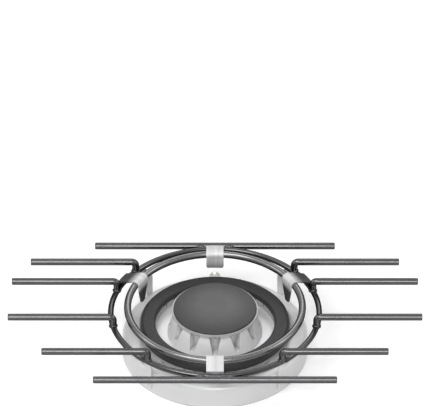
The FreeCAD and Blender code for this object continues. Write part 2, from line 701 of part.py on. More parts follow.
def make_electrode():
    """Spark electrode between the crowns: ceramic, pin and spring clip."""
    ceramic = new_body("spark_ceramic")
    low = "(cover_thick + bowl_wall + spark_low)"
    neck = f"({SENSOR_TOP} - spark_bare)"
    shoulder = f"({neck} - spark_taper)"
    collar = "(bowl_height + collar_high)"
    bore = "(spark_pin + thread_clear)"
    lathe(ceramic, [
        (bore, low), ("spark_radius", low), ("spark_radius", "bowl_height"),
        ("spark_collar", "bowl_height"), ("spark_collar", collar),
        ("spark_radius", f"{collar} + collar_slope"), ("spark_radius", shoulder),
        ("spark_tip", neck), (bore, neck)])
    place(ceramic, "-sensor_side", SENSOR_BACK)
    foot = "(cover_thick + bowl_wall + pin_low)"
    keep(rod("spark_pin", f"{SENSOR_TOP} - {foot}", "-sensor_side", SENSOR_BACK, foot),
         "spark_pin")
    ring = minus(rod("clip_outer", "clip_thick"), rod("spark_radius + thread_clear", "clip_thick"))
    place(ring, "-sensor_side", SENSOR_BACK, f"{BODY_LOW} - clip_thick")
    keep(ring, "spark_clip")


def make_thermocouple():
    """Flame-failure probe between the crowns and its nut."""
    probe = new_body("thermocouple")
    low = "(cover_thick + bowl_wall + probe_low)"
    lathe(probe, [
        ("0", low), ("probe_radius", low), ("probe_radius", f"{SENSOR_TOP} - probe_radius"),
        ("0", SENSOR_TOP, "probe_radius", "left")])
    place(probe, "sensor_side", SENSOR_BACK)
    nut = minus(hexagon("probe_nut", "probe_nut_high"), rod("probe_radius + thread_clear", "probe_nut_high"))
    place(nut, "sensor_side", SENSOR_BACK, "bowl_height")
    keep(nut, "thermocouple_nut")


def make_bracket(label, angle):
    """Sheet bracket on the bowl's wall, with a shelf and a lip for the hoop."""
    body = new_body(label)
    inner = SEAT_INNER
    outer = "(hoop_wire + seat_clear + bracket_thick)"
    shelf = f"({HOOP_Z} - {inner})"
    under = f"({HOOP_Z} - {outer})"
    face = "(bowl_radius + bracket_thick)"
    bend = f"({face} + bracket_bend)"
    lathe(body, [
        ("bowl_radius", "bracket_foot"), (face, "bracket_foot"), (face, f"{under} - bracket_bend"),
        (bend, under, "bracket_bend", "right"), (HOOP, under),
        (f"{HOOP} + {outer} * cos(bracket_lip)", f"{HOOP_Z} - {outer} * sin(bracket_lip)",
         outer, "left"),
        (f"{HOOP} + {inner} * cos(bracket_lip)", f"{HOOP_Z} - {inner} * sin(bracket_lip)"),
        (HOOP, shelf, inner, "right"), (bend, shelf),
        ("bowl_radius", f"{under} - bracket_bend", "bracket_bend + bracket_thick", "left")],
        "2 * asin(bracket_wide / 2 / bowl_radius)")
    hole = new_sketch(body, "YZ_Plane", "bowl_radius - bowl_wall")
    draw_circle(hole, "0", "rivet_height", "rivet_shank + screw_clear")
    pocket(body, hole, "3 * bowl_wall", along=True)
    turn(body, AXIS_Z, angle)


def rivet(angle):
    """Rivet through the bowl's wall and a bracket, along the radius."""
    inside = "(bowl_radius - bowl_wall)"
    outside = "(bowl_radius + bracket_thick)"
    shank = rod("rivet_shank", f"{outside} - {inside} + rivet_high", "0", "0", f"{inside} - rivet_high / 2")
    head = cone("rivet_head", "rivet_top", "rivet_high", "0", "0", f"{outside} + rivet_clear")
    tail = cone("rivet_top", "rivet_tail", "rivet_high", "0", "0",
                f"{inside} - rivet_high - rivet_slack")
    item = joined([shank, head, tail])
    item.Placement = FreeCAD.Placement(
        FreeCAD.Vector(), FreeCAD.Rotation(AXIS_Z, number(angle)) * FreeCAD.Rotation(0, 90, 0))
    bind(item, "Placement.Base.z", "rivet_height")
    return item


# Crowns and caps.

def make_outer_crown():
    """Ring channel with flame slots in both walls and two necks."""
    body = new_body("outer_crown")
    floor = "(bowl_height + outer_crown_floor)"
    outside = f"({CROWN_OUT} - outer_crown_wall)"
    inside = f"({CROWN_IN} + outer_crown_wall)"
    lathe(body, [
        (CROWN_IN, "bowl_height"), (CROWN_OUT, "bowl_height"),
        (CROWN_OUT, OUTER_SEAT), (outside, OUTER_SEAT), (outside, floor),
        (inside, floor), (inside, OUTER_SEAT), (CROWN_IN, OUTER_SEAT)])
    necks = new_sketch(body, "XY_Plane", NECK_LOW)
    for x, y in OUTER_SPOTS:
        draw_circle(necks, x, y, "outer_neck")
    pad(body, necks, "neck_length")
    holes(body, OUTER_SPOTS, "outer_neck - neck_wall", "neck_length + outer_crown_floor", NECK_LOW)
    sill = "(bowl_height + slot_sill)"
    for wall, count, along in ((outside, "slots_out", True), (inside, "slots_in", False)):
        start = f"{wall} - cut_over" if along else f"{wall} + cut_over"
        slot = new_sketch(body, "YZ_Plane", start)
        draw(slot, [("-slot_wide / 2", sill), ("slot_wide / 2", sill),
                    ("slot_wide / 2", f"{OUTER_SEAT} + cut_over"),
                    ("-slot_wide / 2", f"{OUTER_SEAT} + cut_over")])
        around(body, [pocket(body, slot, "outer_crown_wall + 2 * cut_over", along=along)], count)


def make_outer_cap():
    """Ring-shaped cap with a skirt, rounded edges and a rib in the crown's channel."""
    body = new_body("outer_cap")
    rib_in = f"({CROWN_IN} + outer_crown_wall + cap_clear)"
    rib_out = f"({CROWN_OUT} - outer_crown_wall - cap_clear)"
    skirt = f"({CROWN_OUT} + cap_clear)"
    lathe(body, [
        (CAP_IN, OUTER_SEAT), (rib_in, OUTER_SEAT), (rib_in, f"{OUTER_SEAT} - cap_rib"),
        (rib_out, f"{OUTER_SEAT} - cap_rib"), (rib_out, OUTER_SEAT), (skirt, OUTER_SEAT),
        (skirt, f"{OUTER_SEAT} - outer_cap_skirt"), (CAP_OUT, f"{OUTER_SEAT} - outer_cap_skirt"),
        (CAP_OUT, f"{OUTER_TOP} - outer_cap_round"),
        (f"{CAP_OUT} - outer_cap_round", OUTER_TOP, "outer_cap_round", "left"),
        (f"{CAP_IN} + outer_cap_lip", OUTER_TOP),
        (CAP_IN, f"{OUTER_TOP} - outer_cap_lip", "outer_cap_lip", "left")])


def make_inner_crown():
    """Fluted crown with a rim, flame ports in the flutes and a neck into the casting."""
    body = new_body("inner_crown")
    bore = "(inner_neck - neck_wall)"
    floor = "(bowl_height + chamber_floor)"
    lathe(body, [
        (bore, NECK_LOW), ("inner_neck", NECK_LOW), ("inner_neck", "bowl_height"),
        (INNER_FOOT, "bowl_height"), (INNER_FOOT, "bowl_height + inner_crown_edge"),
        (SKIRT, RIM_LOW), (INNER_RIM, RIM_LOW), (INNER_RIM, INNER_SEAT),
        (CHAMBER, INNER_SEAT), (CHAMBER, floor), (bore, floor)])
    flute = new_sketch(body, "YZ_Plane", FLUTE_ROOT)
    draw(flute, [("-flute_foot / 2", "bowl_height + flute_sill"),
                 ("flute_foot / 2", "bowl_height + flute_sill"),
                 ("flute_top / 2", RIM_LOW), ("-flute_top / 2", RIM_LOW)])
    cut = pocket(body, flute, f"{INNER_FOOT} - {FLUTE_ROOT} + cut_over", along=True)
    port = new_sketch(body, "YZ_Plane", f"{FLUTE_ROOT} + cut_over")
    low = f"({RIM_LOW} - port_high)"
    draw(port, [("-port_wide / 2", low), ("port_wide / 2", low),
                ("port_wide / 2", RIM_LOW), ("-port_wide / 2", RIM_LOW)])
    way = pocket(body, port, "chamber_wall + 2 * cut_over")
    around(body, [cut, way], "flute_count")


def make_inner_cap():
    """Low dome with a locating rib in the chamber."""
    body = new_body("inner_cap")
    edge = f"({INNER_SEAT} + inner_cap_edge)"
    dome = f"(({INNER_CAP}^2 + inner_cap_dome^2) / (2 * inner_cap_dome))"
    rib = f"({CHAMBER} - cap_clear)"
    hollow = f"({rib} - inner_cap_rib)"
    lathe(body, [
        ("0", INNER_SEAT), (hollow, INNER_SEAT), (hollow, f"{INNER_SEAT} - cap_rib"),
        (rib, f"{INNER_SEAT} - cap_rib"), (rib, INNER_SEAT), (INNER_CAP, INNER_SEAT),
        (INNER_CAP, edge), ("0", f"{edge} + inner_cap_dome", dome, "left")])
    height = number(edge)
    soften(body, "Fillet", "inner_cap_round",
           lambda item: is_ring(item, number(INNER_CAP), height))


# Pan support: a wire hoop with straight bars and bent fingers.

def cope(body):
    """Cuts the hoop's wire out of a piece that is welded to it."""
    sketch = new_sketch(body, "XZ_Plane")
    draw_circle(sketch, HOOP, HOOP_Z, "hoop_wire")
    spin(body, sketch, cut=True)


def make_hoop():
    """Wire hoop, open at the back."""
    body = new_body("support_hoop")
    sketch = new_sketch(body, "XZ_Plane")
    draw_circle(sketch, HOOP, HOOP_Z, "hoop_wire")
    spin(body, sketch, f"360 deg - 2 * asin(hoop_gap / 2 / {HOOP})")
    turn(body, AXIS_Z, "-90")


def at_end(edge, reach):
    """Whether an edge is a wire end's circle at that distance along X."""
    return isinstance(edge.Curve, Part.Circle) and abs(abs(edge.CenterOfMass.x) - reach) < 1e-3


def make_bar(label, side):
    """Straight wire along X, welded against the hoop."""
    body = new_body(label)
    sketch = new_sketch(body, "YZ_Plane")
    draw_circle(sketch, f"{side}{BAR_Y}", HOOP_Z, "wire_radius")
    pad(body, sketch, f"2 * {BAR_HALF}", both=True)
    reach = number(BAR_HALF)
    soften(body, "Chamfer", "wire_chamfer", lambda edge: at_end(edge, reach))
    cope(body)


def make_finger(label, side, angle):
    """Wire bent down at its inner end and welded on top of the hoop, at an angle round it."""
    body = new_body(label)
    forward = "" if side == "right" else "-"
    depth = f"({forward}1 * {HOOP} * sin({angle}))"
    post = f"({HOOP} * cos({angle}))"
    tip = f"({post} + finger_length)"
    path = new_sketch(body, "XZ_Plane", f"-1 * {depth}")
    draw(path, [(post, f"{HOOP_Z} + finger_foot"), (post, f"{FINGER_Z} - {FINGER_BEND}"),
                (f"{post} + {FINGER_BEND}", FINGER_Z, FINGER_BEND, "right"), (tip, FINGER_Z)],
         closed=False)
    section = new_sketch(body, "YZ_Plane", tip)
    draw_circle(section, depth, FINGER_Z, "wire_radius")
    DOC.recompute()
    pipe = body.newObject("PartDesign::AdditivePipe", "Pipe")
    pipe.Profile = (section, [""])
    pipe.Spine = (path, [f"Edge{i}" for i in (1, 2, 3)])
    DOC.recompute()
    reach = number(tip)
    soften(body, "Chamfer", "wire_chamfer", lambda edge: at_end(edge, reach))
    cope(body)
    if side == "left":
        turn(body, AXIS_Z, "180")


# Wok ring: wire and four clips that hook over the support's hoop.

def make_ring():
    """Closed wire ring."""
    item = DOC.addObject("Part::Torus", "wok_ring_wire")
    bind(item, "Radius1", RING)
    bind(item, "Radius2", "ring_wire")
    place(item, z=RING_Z)
    keep(item, "wok_ring_wire")


def clip_outline(tongue, lap):
    """Section of a clip: tongue, arch over the ring, sloping web, arch over the hoop."""
    def ring_point(radius, way_x, way_z):
        return f"{RING} + {radius} * {way_x}", f"{RING_Z} + {radius} * {way_z}"

    def hoop_point(radius, angle):
        return f"{HOOP} + {radius} * sin({angle})", f"{HOOP_Z} + {radius} * cos({angle})"

    def web_point(radius):
        return ring_point(radius, "sin(clip_tilt)", "cos(clip_tilt)")

    low = f"({RING_Z} - {tongue})"
    inner = f"({RING} - {CLIP_INNER})"
    outer = f"({RING} - {CLIP_OUTER})"
    return [
        (outer, low), (inner, low), (inner, RING_Z),
        (*web_point(CLIP_INNER), CLIP_INNER, "right"), hoop_point(SEAT_INNER, "clip_tilt"),
        (*hoop_point(SEAT_INNER, lap), SEAT_INNER, "right"),
        hoop_point(SEAT_OUTER, lap),
        (*hoop_point(SEAT_OUTER, "clip_tilt"), SEAT_OUTER, "left"), web_point(CLIP_OUTER),
        (outer, RING_Z, CLIP_OUTER, "left")]


def taper(body):
    """Narrows a long tongue towards its tip."""
    sketch = new_sketch(body, "YZ_Plane", f"{RING} - {CLIP_OUTER} - 2 * cut_over")
    low = f"({RING_Z} - tongue_long - cut_over)"
    high = f"({RING_Z} - ring_wire)"
    for sign in ("", "-"):
        draw(sketch, [(f"{sign}tongue_tip / 2", low), (f"{sign}(clip_wide / 2 + cut_over)", low),
                      (f"{sign}(clip_wide / 2 + cut_over)", high)])
    pocket(body, sketch, "clip_sheet + ring_wire", along=True)


def trim(body):
    """Cuts a clip to parallel sides."""
    sketch = new_sketch(body, "XY_Plane")
    near = f"({RING} - {CLIP_OUTER} - clip_wide)"
    far = f"({HOOP} + {SEAT_OUTER} + cut_over)"
    for sign in ("", "-"):
        side = f"{sign}(clip_wide / 2)"
        wide = f"{sign}clip_wide"
        draw(sketch, [(near, side), (far, side), (far, wide), (near, wide)])
    pocket(body, sketch, f"2 * ({RING_Z} + {CLIP_OUTER} + cut_over)", both=True)


def make_clip(label, angle, tongue, lap):
    """Sheet clip bent over the ring's wire, centred on an angle about the burner's axis."""
    body = new_body(label)
    lathe(body, clip_outline(tongue, lap),
          f"2 * asin((clip_wide / 2 + cut_over) / ({RING} - {CLIP_OUTER}))")
    trim(body)
    if tongue == "tongue_long":
        taper(body)
    else:
        low = number(f"{RING_Z} - {tongue}")
        soften(body, "Fillet", "tongue_round", lambda edge: is_tongue_corner(edge, low))
    turn(body, AXIS_Z, angle)


def is_tongue_corner(edge, low):
    """Whether an edge is a short radial corner at the bottom of a tongue."""
    box_of = edge.BoundBox
    flat = abs(box_of.ZMin - low) < 1e-3 and box_of.ZLength < 1e-3
    return flat and edge.Length < number("clip_sheet") * 1.2


def build():
    """Makes every piece."""
    make_bowl()
    make_cover()
    screws("cover_screws", COVER_SPOTS, "screw_grip", "(screw_high + screw_clear / 2)")
    make_mixing_body()
    screws("body_screws", BODY_SPOTS, "body_thick + bowl_wall - screw_short", BODY_LOW)
    make_rail()
    screws("rail_screws", RAIL_SPOTS, "screw_grip - cover_thick", "(screw_high + screw_clear / 2)")
    keep(injector("0", "0"), "inner_injector")
    group([injector(x, y) for x, y in OUTER_SPOTS], "outer_injectors")
    make_inlet()
    make_electrode()
    make_thermocouple()
    quarter = "bracket_turn"
    brackets = (("back_right", quarter), ("back_left", f"180 - {quarter}"),
                ("front_left", f"180 + {quarter}"), ("front_right", f"360 - {quarter}"))
    for name, angle in brackets:
        make_bracket(f"seat_bracket_{name}", angle)
    group([rivet(angle) for _name, angle in brackets], "bracket_rivets")
    make_outer_crown()
    make_outer_cap()
    make_inner_crown()
    make_inner_cap()
    make_hoop()
    make_bar("front_bar", "-")
    make_bar("back_bar", "")
    rows = (("back", "finger_back"), ("rear", "finger_rear"),
            ("fore", "-finger_fore"), ("front", "-finger_front"))
    for side in ("left", "right"):
        for name, angle in rows:
            make_finger(f"finger_{name}_{side}", side, angle)
    make_ring()
    make_clip("wok_clip_front", "270", "tongue_short", "lap_short")
    make_clip("wok_clip_back", "90", "tongue_short", "lap_short")
    make_clip("wok_clip_right", "clip_turn", "tongue_long", "lap_long")
    make_clip("wok_clip_left", "180 - clip_turn", "tongue_long", "lap_long")


def check():
    """Stops on any object that did not build, and on any piece without a valid solid."""
    for item in DOC.Objects:
        if "Invalid" in item.State or "Error" in item.State:
            raise RuntimeError(f"{item.Label}: {item.State}")
    for item in PIECES:
        shape = item.Shape
        if shape.isNull() or not shape.isValid() or not shape.Solids:
            raise RuntimeError(f"{item.Label}: no valid solid")


def write():
    """Writes one file per piece."""
    os.makedirs("parts", exist_ok=True)
    for item in PIECES:
        item.Shape.exportStep(f"parts/{item.Label}.step")


build()
DOC.recompute()
check()
write()
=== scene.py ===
"""Finishes, bent sheet pieces, welds, threads and studio for a gas wok burner.

The burner has a wire pan support and a lift-off wok ring. Metres, +Z up, +X to the right, +Y to the back.
The floor is z = 0 and the burner's axis is the Z axis.
"""

import logging
import math
from dataclasses import dataclass, field, replace
from enum import Enum

import bmesh
import bpy
import numpy as np
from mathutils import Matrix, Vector


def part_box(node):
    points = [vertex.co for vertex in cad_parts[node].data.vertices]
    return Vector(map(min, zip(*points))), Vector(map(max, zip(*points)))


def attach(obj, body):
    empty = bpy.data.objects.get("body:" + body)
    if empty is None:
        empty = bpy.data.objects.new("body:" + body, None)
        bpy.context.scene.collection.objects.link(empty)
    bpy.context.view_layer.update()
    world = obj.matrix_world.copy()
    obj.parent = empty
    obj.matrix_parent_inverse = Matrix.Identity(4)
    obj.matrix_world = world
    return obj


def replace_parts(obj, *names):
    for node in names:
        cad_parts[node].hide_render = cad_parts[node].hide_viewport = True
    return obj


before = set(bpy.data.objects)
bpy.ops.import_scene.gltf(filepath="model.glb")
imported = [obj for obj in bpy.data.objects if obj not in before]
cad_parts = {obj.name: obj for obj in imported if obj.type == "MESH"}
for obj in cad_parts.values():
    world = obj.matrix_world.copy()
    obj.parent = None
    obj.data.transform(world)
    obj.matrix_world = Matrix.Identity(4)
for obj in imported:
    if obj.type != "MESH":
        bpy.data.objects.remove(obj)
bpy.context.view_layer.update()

LOG = logging.getLogger("wok_burner")
MM = 0.001
TURN = 2.0 * math.pi
Socket = bpy.types.NodeSocket
Colour = tuple[float, float, float]
Triple = tuple[float, float, float]
Pair = tuple[float, float]

# Usual least and most of a noise, and how strongly its finer octaves count.
NOISE_LOW, NOISE_HIGH = 0.3, 0.7
NOISE_ROUGHNESS = 0.55
# Radius at which an angle about the burner's axis is taken as a length.
ROUND_RADIUS = 80.0 * MM
# Points of a mesh that are nearer than this are one point, and shorter edges go.
MERGED = 1e-7
SLIVER = 1e-8


@dataclass(frozen=True)
class Pattern:
    """Fine and broad noise of a grain: bumps per metre, octaves and stretch along the axes.

    A turned pattern runs outward, round and up instead of along X, Y and Z, and one with cells has
    crystals for its broad noise.
    """

    fine: float
    fine_octaves: float
    broad: float
    broad_octaves: float = 0.0
    fine_stretch: Triple | None = None
    broad_stretch: Triple | None = None
    turned: bool = False
    cells: bool = False


class Grain(Enum):
    """Fine marks that a finish shows."""

    # Circles about the burner's axis.
    TURNED = Pattern(2600.0, 3.0, 90.0, 3.0, (1.0, 0.02, 1.0), (1.0, 0.15, 1.0), turned=True)
    # Sand grain of a casting.
    CAST = Pattern(1500.0, 4.0, 60.0, 4.0)
    # Orange peel of fired enamel.
    ENAMEL = Pattern(700.0, 1.0, 45.0, 5.0)
    # Fine grain of drawn wire.
    DRAWN = Pattern(1800.0, 3.0, 70.0, 4.0)
    # Upright brush lines.
    BRUSHED = Pattern(1500.0, 2.0, 260.0, 2.0, (0.05, 1.0, 0.02), (0.05, 1.0, 0.02), turned=True)
    # Crystals of zinc.
    SPANGLE = Pattern(1200.0, 2.0, 110.0, cells=True)
    # Strands of pressed fibre.
    FIBRE = Pattern(2200.0, 4.0, 300.0, 3.0, (1.0, 0.2, 1.0), (1.0, 0.2, 1.0))
    # Soft waves of a glaze.
    GLAZE = Pattern(250.0, 1.0, 120.0, 2.0)


class Shader:
    """Node tree of one finish, built around a Principled shader."""

    def __init__(self, name: str) -> None:
        """Starts an empty material.

        Args:
            name: name of the material.
        """
        self.material = bpy.data.materials.new(name)
        self.material.use_nodes = True
        self.tree = self.material.node_tree
        self.tree.nodes.clear()
        self.surface = self.add("ShaderNodeBsdfPrincipled")
        output = self.add("ShaderNodeOutputMaterial")
        self.tree.links.new(self.surface.outputs["BSDF"], output.inputs["Surface"])
        self.place = self.add("ShaderNodeTexCoord").outputs["Object"]

    def add(self, kind: str, inputs: dict | None = None, **settings: object) -> bpy.types.Node:
        """Adds a node.

        Args:
            kind: type of the node.
            inputs: values or sockets for the node's inputs, by name or index.
            settings: properties of the node.

        Returns:
            The new node.
        """
        node = self.tree.nodes.new(kind)
        for key, value in settings.items():
            setattr(node, key, value)
        for key, value in (inputs or {}).items():
            self.feed(node.inputs[key], value)
        return node

    def feed(self, target: Socket, value: object) -> None:
        """Sets an input to a number or colour, or links it to a socket.

        Args:
            target: the input.
            value: a constant or an output socket.
        """
        if isinstance(value, bpy.types.NodeSocket):
            self.tree.links.new(value, target)
        else:
            target.default_value = value

    def math(self, operation: str, first: object, second: object = 0.0) -> Socket:
        """Result of a sum of one or two values.

        Args:
            operation: name of the sum.
            first: first value or socket.
            second: second value or socket.

        Returns:
            The output socket.
        """
        return self.add("ShaderNodeMath", {0: first, 1: second}, operation=operation).outputs[0]

    def noise(self, vector: Socket, scale: float, detail: float) -> Socket:
        """Noise between 0 and 1.

        Args:
            vector: coordinates.
            scale: bumps per metre.
            detail: octaves.

        Returns:
            The output socket.
        """
        inputs = {"Vector": vector, "Scale": scale, "Detail": detail, "Roughness": NOISE_ROUGHNESS}
        return self.add("ShaderNodeTexNoise", inputs).outputs["Fac"]

    def stretch(self, vector: Socket, scale: Triple | None) -> Socket:
        """Coordinates stretched along the axes.

        Args:
            vector: coordinates.
            scale: factor along each axis, or None to leave them.

        Returns:
            The output socket.
        """
        if scale is None:
            return vector
        return self.add("ShaderNodeMapping", {"Vector": vector, "Scale": scale}).outputs["Vector"]

    def around(self) -> Socket:
        """Coordinates that run outward, round and up: radius, angle times a set radius, height.

        Returns:
            The output socket.
        """
        parts = self.add("ShaderNodeSeparateXYZ", {"Vector": self.place}).outputs
        squares = self.math("ADD", self.math("MULTIPLY", parts[0], parts[0]),
                            self.math("MULTIPLY", parts[1], parts[1]))
        angle = self.math("ARCTAN2", parts[1], parts[0])
        arc_length = self.math("MULTIPLY", angle, ROUND_RADIUS)
        inputs = {"X": self.math("SQRT", squares), "Y": arc_length, "Z": parts[2]}
        return self.add("ShaderNodeCombineXYZ", inputs).outputs[0]

    def ramp(self, value: Socket, ends: Pair, results: Pair = (0.0, 1.0), smooth: bool = False) -> Socket:
        """A value that goes from one result to the other between two ends, and is level past them.

        Args:
            value: what is compared with the ends.
            ends: where the ramp starts and where it stops; the start may be the larger.
            results: values at the two ends.
            smooth: whether the ramp eases in and out.

        Returns:
            The output socket.
        """
        inputs = {"Value": value, "From Min": ends[0], "From Max": ends[1],
                  "To Min": results[0], "To Max": results[1]}
        kind = "SMOOTHSTEP" if smooth else "LINEAR"
        return self.add("ShaderNodeMapRange", inputs, interpolation_type=kind).outputs[0]

    def between(self, share: Socket, low: float, high: float) -> Socket:
        """A value from low to high as a noise goes from its usual least to its usual most.

        Args:
            share: noise.
            low: value at the low end.
            high: value at the high end.

        Returns:
            The output socket.
        """
        return self.ramp(share, (NOISE_LOW, NOISE_HIGH), (low, high))

    def tint(self, share: Socket, low: Colour, high: Colour) -> Socket:
        """A colour between two as a noise goes from its usual least to its usual most.

        Args:
            share: noise.
            low: colour at the low end.
            high: colour at the high end.

        Returns:
            The output socket.
        """
        ramp = self.add("ShaderNodeValToRGB", {"Fac": share})
        first, last = ramp.color_ramp.elements
        first.position, last.position = NOISE_LOW, NOISE_HIGH
        first.color, last.color = (*low, 1.0), (*high, 1.0)
        return ramp.outputs["Color"]

    def blend(self, share: Socket, colour: Socket, other: Colour) -> Socket:
        """A colour that goes over to another.

        Args:
            share: 0 for the colour, 1 for the other.
            colour: colour that varies.
            other: plain colour.

        Returns:
            The output socket.
        """
        mix = self.add("ShaderNodeMix", data_type="RGBA")
        self.feed(mix.inputs[0], share)
        self.feed(mix.inputs[6], colour)
        mix.inputs[7].default_value = (*other, 1.0)
        return mix.outputs[2]


@dataclass(frozen=True)
class PaintedShade:
    """Painted shade: darker by radius and by height; each pair is where it starts and where it is full."""

    colour: Colour
    radius: Pair | None = None
    height: Pair | None = None
    breaks: float = 0.18

    def share(self, shader: Shader, broad: Socket) -> Socket:
        """How much painted shade the piece gets: the larger of the smooth steps, broken up by the broad
        pattern.

        Args:
            shader: node tree to add to.
            broad: broad pattern.

        Returns:
            The output socket, from 0 to 1.
        """
        parts = shader.add("ShaderNodeSeparateXYZ", {"Vector": shader.around()}).outputs
        steps = [shader.ramp(value, ends, smooth=True)
                 for value, ends in ((parts["X"], self.radius), (parts["Z"], self.height)) if ends]
        dark = shader.math("MAXIMUM", steps[0], steps[-1])
        return shader.math("MULTIPLY", dark, shader.between(broad, 1.0 - self.breaks, 1.0))


@dataclass(frozen=True)
class Finish:
    """Colour, gloss and fine marks of one material slot.

    Rub lightens edges, painted shade darkens the hollows, and painted shade also darkens set bands by radius
    and height. rub_match is how well the rounded-off normal matches the straight one where rub starts and
    where it is full, and the pair for the painted shade in hollows is how open the surface is where that
    shade starts and where it is full.
    """

    slot: str
    colour: Colour
    metallic: float
    roughness: float
    grain: Grain
    depth: float
    spread: float = 0.06
    gloss_spread: float = 0.06
    soft_edge: float = 0.0
    coat: float = 0.0
    coat_roughness: float = 0.2
    specular: float = 0.5
    edge_tint: float = 1.0
    edge_samples: int = 6
    rub: float = 0.0
    rub_reach: float = 0.6 * MM
    rub_match: Pair = (0.99, 0.80)
    rub_breaks: float = 0.5
    # Painted shade in hollows, from ambient occlusion: strength, reach, where it starts and is full, samples
    # and how dark.
    hollow_shade: float = 0.0
    hollow_shade_reach: float = 5.0 * MM
    hollow_shade_open: Pair = (0.95, 0.45)
    hollow_shade_samples: int = 12
    hollow_shade_dark: float = 0.2
    # Painted shade by radius and height.
    painted_shade: PaintedShade | None = None
    kind: str = ""

    def marks(self, shader: Shader) -> tuple[Socket, Socket]:
        """Patterns of the finish.

        Args:
            shader: node tree to add to.

        Returns:
            Fine pattern for the relief, and broad pattern for colour and gloss.
        """
        pattern = self.grain.value
        place = shader.around() if pattern.turned else shader.place
        fine = shader.noise(
            shader.stretch(place, pattern.fine_stretch), pattern.fine, pattern.fine_octaves)
        if pattern.cells:
            cells = shader.add("ShaderNodeTexVoronoi", {"Vector": place, "Scale": pattern.broad})
            return fine, cells.outputs["Color"]
        broad = shader.noise(
            shader.stretch(place, pattern.broad_stretch), pattern.broad, pattern.broad_octaves)
        return fine, broad

    def material(self) -> bpy.types.Material:
        """Material of the finish, made once.

        Returns:
            The material.
        """
        name = f"finish_{self.slot}{self.kind}"
        known = bpy.data.materials.get(name)
        if known:
            return known
        shader = Shader(name)
        fine, broad = self.marks(shader)
        low = tuple(part * (1.0 - self.spread) for part in self.colour)
        high = tuple(min(part * (1.0 + self.spread), 1.0) for part in self.colour)
        inputs = shader.surface.inputs
        colour = shader.tint(broad, low, high)
        if self.rub > 0.0:
            colour = self.rubbed(shader, colour, fine)
        # Painted shade in the hollows.
        if self.hollow_shade > 0.0:
            colour = self.shade_hollows(shader, colour)
        # Painted shade by radius and height.
        if self.painted_shade:
            colour = shader.blend(self.painted_shade.share(shader, broad), colour, self.painted_shade.colour)
        shader.feed(inputs["Base Color"], colour)
        inputs["Metallic"].default_value = self.metallic
        inputs["Specular IOR Level"].default_value = self.specular
        inputs["Specular Tint"].default_value = (*(3 * (self.edge_tint,)), 1.0)
        inputs["Coat Weight"].default_value = self.coat
        inputs["Coat Roughness"].default_value = self.coat_roughness
        shader.feed(inputs["Roughness"], shader.between(
            fine, self.roughness - self.gloss_spread, self.roughness + self.gloss_spread))
        relief = {"Height": fine, "Strength": 1.0, "Distance": self.depth}
        if self.soft_edge > 0.0:
            relief["Normal"] = self.rounded(shader, self.soft_edge)
        shader.feed(inputs["Normal"], shader.add("ShaderNodeBump", relief).outputs["Normal"])
        return shader.material

    def rounded(self, shader: Shader, reach: float) -> Socket:
        """Normal of the surface with its edges rounded off.

        Args:
            shader: node tree to add to.
            reach: radius of the rounding.

        Returns:
            The output socket.
        """
        return shader.add("ShaderNodeBevel", {"Radius": reach}, samples=self.edge_samples).outputs["Normal"]

    def rubbed(self, shader: Shader, colour: Socket, fine: Socket) -> Socket:
        """Colour that is lighter where an edge is rubbed.

        An edge is where the normal of the surface, rounded off over a short reach, leaves the
        straight one; the fine pattern breaks it up.

        Args:
            shader: node tree to add to.
            colour: colour away from the edges.
            fine: fine pattern.

        Returns:
            The output socket.
        """
        straight = shader.add("ShaderNodeNewGeometry").outputs["Normal"]
        match = shader.add("ShaderNodeVectorMath", {0: self.rounded(shader, self.rub_reach), 1: straight},
                           operation="DOT_PRODUCT").outputs["Value"]
        edge = shader.ramp(match, self.rub_match, (0.0, self.rub))
        share = shader.math("MULTIPLY", edge, shader.between(fine, 1.0 - self.rub_breaks, 1.0))
        bare = tuple(part + self.rub * (1.0 - part) / 2.0 for part in self.colour)
        return shader.blend(share, colour, bare)

    def shade_hollows(self, shader: Shader, colour: Socket) -> Socket:
        """Colour with painted shade in the hollows of the piece.

        A hollow is where the piece itself stands round the surface within a short reach.

        Args:
            shader: node tree to add to.
            colour: colour in the open.

        Returns:
            The output socket.
        """
        # Painted shade: ambient occlusion darkens the colour where the piece closes round the surface.
        openness = shader.add("ShaderNodeAmbientOcclusion", {"Distance": self.hollow_shade_reach},
                              samples=self.hollow_shade_samples, only_local=True).outputs["AO"]
        share = shader.ramp(openness, self.hollow_shade_open, (0.0, self.hollow_shade))
        return shader.blend(share, colour, tuple(self.hollow_shade_dark * part for part in self.colour))

    def dress(self, piece: bpy.types.Object) -> None:
        """Puts the finish on a piece and names its slot.

        Args:
            piece: the piece.
        """
        material = self.material()
        if piece.material_slots:
            for slot in piece.material_slots:
                slot.material = material
        else:
            piece.data.materials.append(material)
        LOG.info("%s: %s", piece.name, self.slot)

    def dress_nodes(self, *names: str) -> None:
        """Puts the finish on nodes of the frame.

        Args:
            names: names of the nodes.
        """
        for name in names:
            self.dress(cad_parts[name])


BOWL = Finish("bowl_steel", (0.74, 0.74, 0.745), 0.30, 0.42, Grain.TURNED, 6e-7,
              spread=0.02, gloss_spread=0.03)
COVER = Finish("cover_steel", (0.56, 0.57, 0.58), 1.0, 0.44, Grain.SPANGLE, 2e-6, spread=0.07)
CASTING = Finish("cast_aluminium", (0.46, 0.46, 0.465), 0.4, 0.55, Grain.CAST, 2e-5,
                 soft_edge=3e-4, rub=0.3)
# Crown aluminium, with painted shade in its hollows.
CROWN = Finish("crown_aluminium", (0.84, 0.84, 0.845), 0.15, 0.42, Grain.CAST, 6e-6, spread=0.03,
               soft_edge=5e-4, rub=0.15, hollow_shade=0.5)
ENAMEL = Finish("dark_enamel", (0.023, 0.023, 0.024), 0.0, 0.48, Grain.ENAMEL, 1.2e-5, spread=0.16,
                specular=0.33, rub=0.5)
